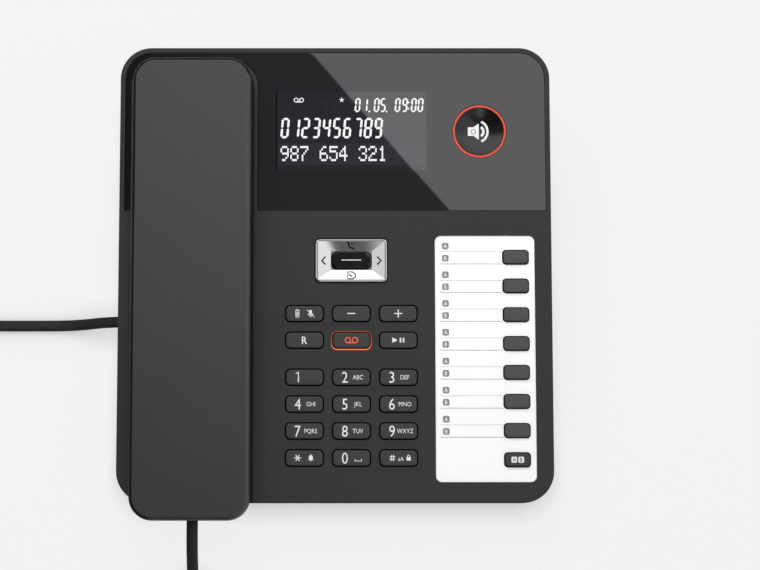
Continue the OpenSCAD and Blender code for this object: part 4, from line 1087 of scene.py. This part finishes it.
HANDSET_X, HANDSET_V = -68.2, -8.4
HANDSET_W, HANDSET_L, HANDSET_R = 56.6, 220.0, 11.0
HANDSET_LOW, HANDSET_TOP = 6.0, 17.0
HANDSET_BEVEL = 1.9
BACK_DROP = 0.03  # the back lies this much below the solid's
FRONT_DROP = 1.5  # how far the back falls away at the front end
cover = block("handset_back", HANDSET_W, HANDSET_L, HANDSET_LOW, HANDSET_TOP, HANDSET_R, 16, 14)
soften_top(cover, HANDSET_TOP, HANDSET_BEVEL, 6)
for point in cover.data.vertices:
    if point.co.z > HANDSET_LOW * MM + NEAR:
        forward = max(0.0, -point.co.y) / (HANDSET_L / 2 * MM)
        point.co.z -= (BACK_DROP + FRONT_DROP * forward ** 3) * MM
# The left and rear bevels look away from the light, and a darker finish on them paints their shade
shaded_bevel = [face.index for face in cover.data.polygons
              if 0.05 < face.normal.z < 0.96 and (face.normal.x < -0.1 or face.normal.y > 0.1)]
place(cover, HANDSET_X, HANDSET_V)
finish(cover, HANDSET_BLACK, "handset", ["handset_cover"])
cover.data.materials.append(HANDSET_BEVEL_SHADE)
for index in shaded_bevel:
    cover.data.polygons[index].material_index = 1

# ---- room and light

scene = bpy.context.scene
scene.view_settings.view_transform = "Standard"

bpy.ops.mesh.primitive_plane_add(size=8, location=(0, 0, 0))
floor = bpy.context.object
floor.name = floor.data.name = "floor"
paper = bpy.data.materials.new("floor paper")
paper.use_nodes = True
tree = paper.node_tree
shader = tree.nodes["Principled BSDF"]
shader.inputs["Base Color"].default_value = grey(0.86)
shader.inputs["Roughness"].default_value = 0.9
shader.inputs["Specular IOR Level"].default_value = 0.1
# To the camera the paper is mostly of one even level, and darker close to the object
PAPER_LEVEL, CONTACT_LEVEL, CONTACT_REACH, EVEN_SHARE = 0.89, 0.56, 0.014, 0.93
path = node(tree, "LightPath")
close_by = node(tree, "AmbientOcclusion", {"Distance": CONTACT_REACH})
shadow = ramp(tree, close_by.outputs["AO"], 0.45, 1.0, CONTACT_LEVEL, PAPER_LEVEL)
glow = node(tree, "Emission", {"Color": shadow, "Strength": 1.0})
share = worked(tree, "MULTIPLY", path.outputs["Is Camera Ray"], EVEN_SHARE)
tree.links.new(mixed(tree, share, shader.outputs[0], glow.outputs[0]),
               tree.nodes["Material Output"].inputs["Surface"])
floor.data.materials.append(paper)


def mirrored(x, v, sideways=0.0, forward=0.0):
    """Where the sight line to a spot goes on after its reflection, in the face or in a plane
    that leans from it sideways or forward by a number of degrees."""
    spot = on_face(x, v)
    normal = (FACE.to_3x3() @ Matrix.Rotation(radians(forward), 3, "X")
              @ Matrix.Rotation(radians(sideways), 3, "Y") @ UP).normalized()
    sight = (spot - camera.location).normalized()
    return sight - 2 * sight.dot(normal) * normal


def edge_between(start, end, inside):
    """The plane of a straight edge, from two directions on it and one beyond it."""
    edge = start.cross(end).normalized()
    return edge if edge.dot(inside) > 0 else -edge


# The studio's pale screen ends in a straight edge, which crosses the glossy panel aslant
EDGE = edge_between(mirrored(-11.7, 107.7), mirrored(54.5, 30.0), mirrored(90, 100))
# Small boards stand where the rocker's right side, rear side and rim look
BOARD = mirrored(ROCKER_X + 13, ROCKER_V, -LEAN_X)
REAR_V = ROCKER_V + 7  # middle of the rocker's rear side
REAR_BOARD = mirrored(ROCKER_X, REAR_V, 0, LEAN_Y)
RIM_SLOPE = 17.6
RIM_BOARDS = [mirrored(ROCKER_X, ROCKER_V, sideways, forward) for sideways, forward in
              ((0, -RIM_SLOPE), (0, RIM_SLOPE), (-RIM_SLOPE, 0), (RIM_SLOPE, 0))]
# The rear board's left part is pale, up to a line that crosses the rocker's rear side aslant
BOARD_EDGE = edge_between(mirrored(ROCKER_X - 10.9, ROCKER_V + 9.6, 0, LEAN_Y),
                          mirrored(ROCKER_X - 8.5, ROCKER_V + 4.3, 0, LEAN_Y), REAR_BOARD)

world = bpy.data.worlds.new("studio")
scene.world = world
world.use_nodes = True
tree = world.node_tree
tree.nodes.clear()
direction = node(tree, "TexCoord").outputs["Generated"]
along = node(tree, "SeparateXYZ", {0: direction})


def over(value, start, end, low=0.0, high=1.0):
    return ramp(tree, value, start, end, low, high)


def blend(share, first, second):
    return node(tree, "Mix", {0: share, 2: first, 3: second}, data_type="FLOAT").outputs[0]


def beyond(edge):
    """0 on one side of a straight edge and 1 on the other."""
    side = node(tree, "VectorMath", {0: direction, 1: tuple(edge)},
                operation="DOT_PRODUCT").outputs["Value"]
    return over(side, -0.0002, 0.0002)


def with_board(seen, middle, reach, level):
    """Adds a small round board about a direction."""
    away = node(tree, "VectorMath", {0: direction, 1: tuple(middle)},
                operation="DISTANCE").outputs["Value"]
    return blend(over(away, reach, reach * 1.2, 1.0, 0.0), seen, level)


# What the glossy parts mirror: a level of light for each direction, to the right, to the rear
# and up. Later lines lie over earlier ones.
across, ahead, up = (along.outputs[axis] for axis in "XYZ")
pale = over(across, 0.12, 0.18, 2.6, 1.2)
dark = over(across, -0.1, -0.045, 0.11, 0.38)
dark = blend(over(ahead, -0.08, -0.02), 0.08, dark)
seen = blend(beyond(EDGE), dark, pale)
front = blend(over(across, 0.05, 0.12), over(across, -0.01, 0.03, 0.1, 2.2), 0.6)
seen = blend(over(ahead, -0.21, -0.17, 1.0, 0.0), seen, front)
seen = blend(over(ahead, 0.095, 0.125), seen, 2.0)
seen = blend(over(up, 0.84, 0.93, 1.0, 0.0), seen, over(across, 0.1, 0.4, 0.1, 0.9))
seen = with_board(seen, BOARD, 0.019, 1.0)
for board in RIM_BOARDS:
    seen = with_board(seen, board, 0.05, 1.25)
start, end = (mirrored(ROCKER_X + x, REAR_V, 0, LEAN_Y).x for x in (7, 17))
rear = blend(beyond(BOARD_EDGE), 1.3, over(across, start, end, 0.13, 0.9))
seen = with_board(seen, REAR_BOARD, 0.024, rear)


def background(level, strength):
    return node(tree, "Background", {"Color": grey(level), "Strength": strength}).outputs[0]


# Matt parts are lit evenly, glossy ones mirror the studio, and the camera sees a plain backdrop
path = node(tree, "LightPath")
room = mixed(tree, path.outputs["Is Glossy Ray"], background(1.0, 0.6), background(1.0, seen))
direct = worked(tree, "MAXIMUM", path.outputs["Is Camera Ray"], path.outputs["Is Transmission Ray"])
node(tree, "OutputWorld", {"Surface": mixed(tree, direct, room, background(PAPER_LEVEL, 1.0))})

LAMP_PLACE, LAMP_AIM, LAMP_SIZE, LAMP_POWER = (-0.12, 0.5, 0.62), (0, 0.02, 0.02), 0.5, 4.6
light = bpy.data.lights.new("key light", "AREA")
light.shape, light.size, light.energy = "DISK", LAMP_SIZE, LAMP_POWER
key_light = in_scene("key light", light)
key_light.location = LAMP_PLACE
key_light.rotation_euler = (Vector(LAMP_PLACE) - Vector(LAMP_AIM)).to_track_quat("Z", "Y").to_euler()
key_light.visible_glossy = False
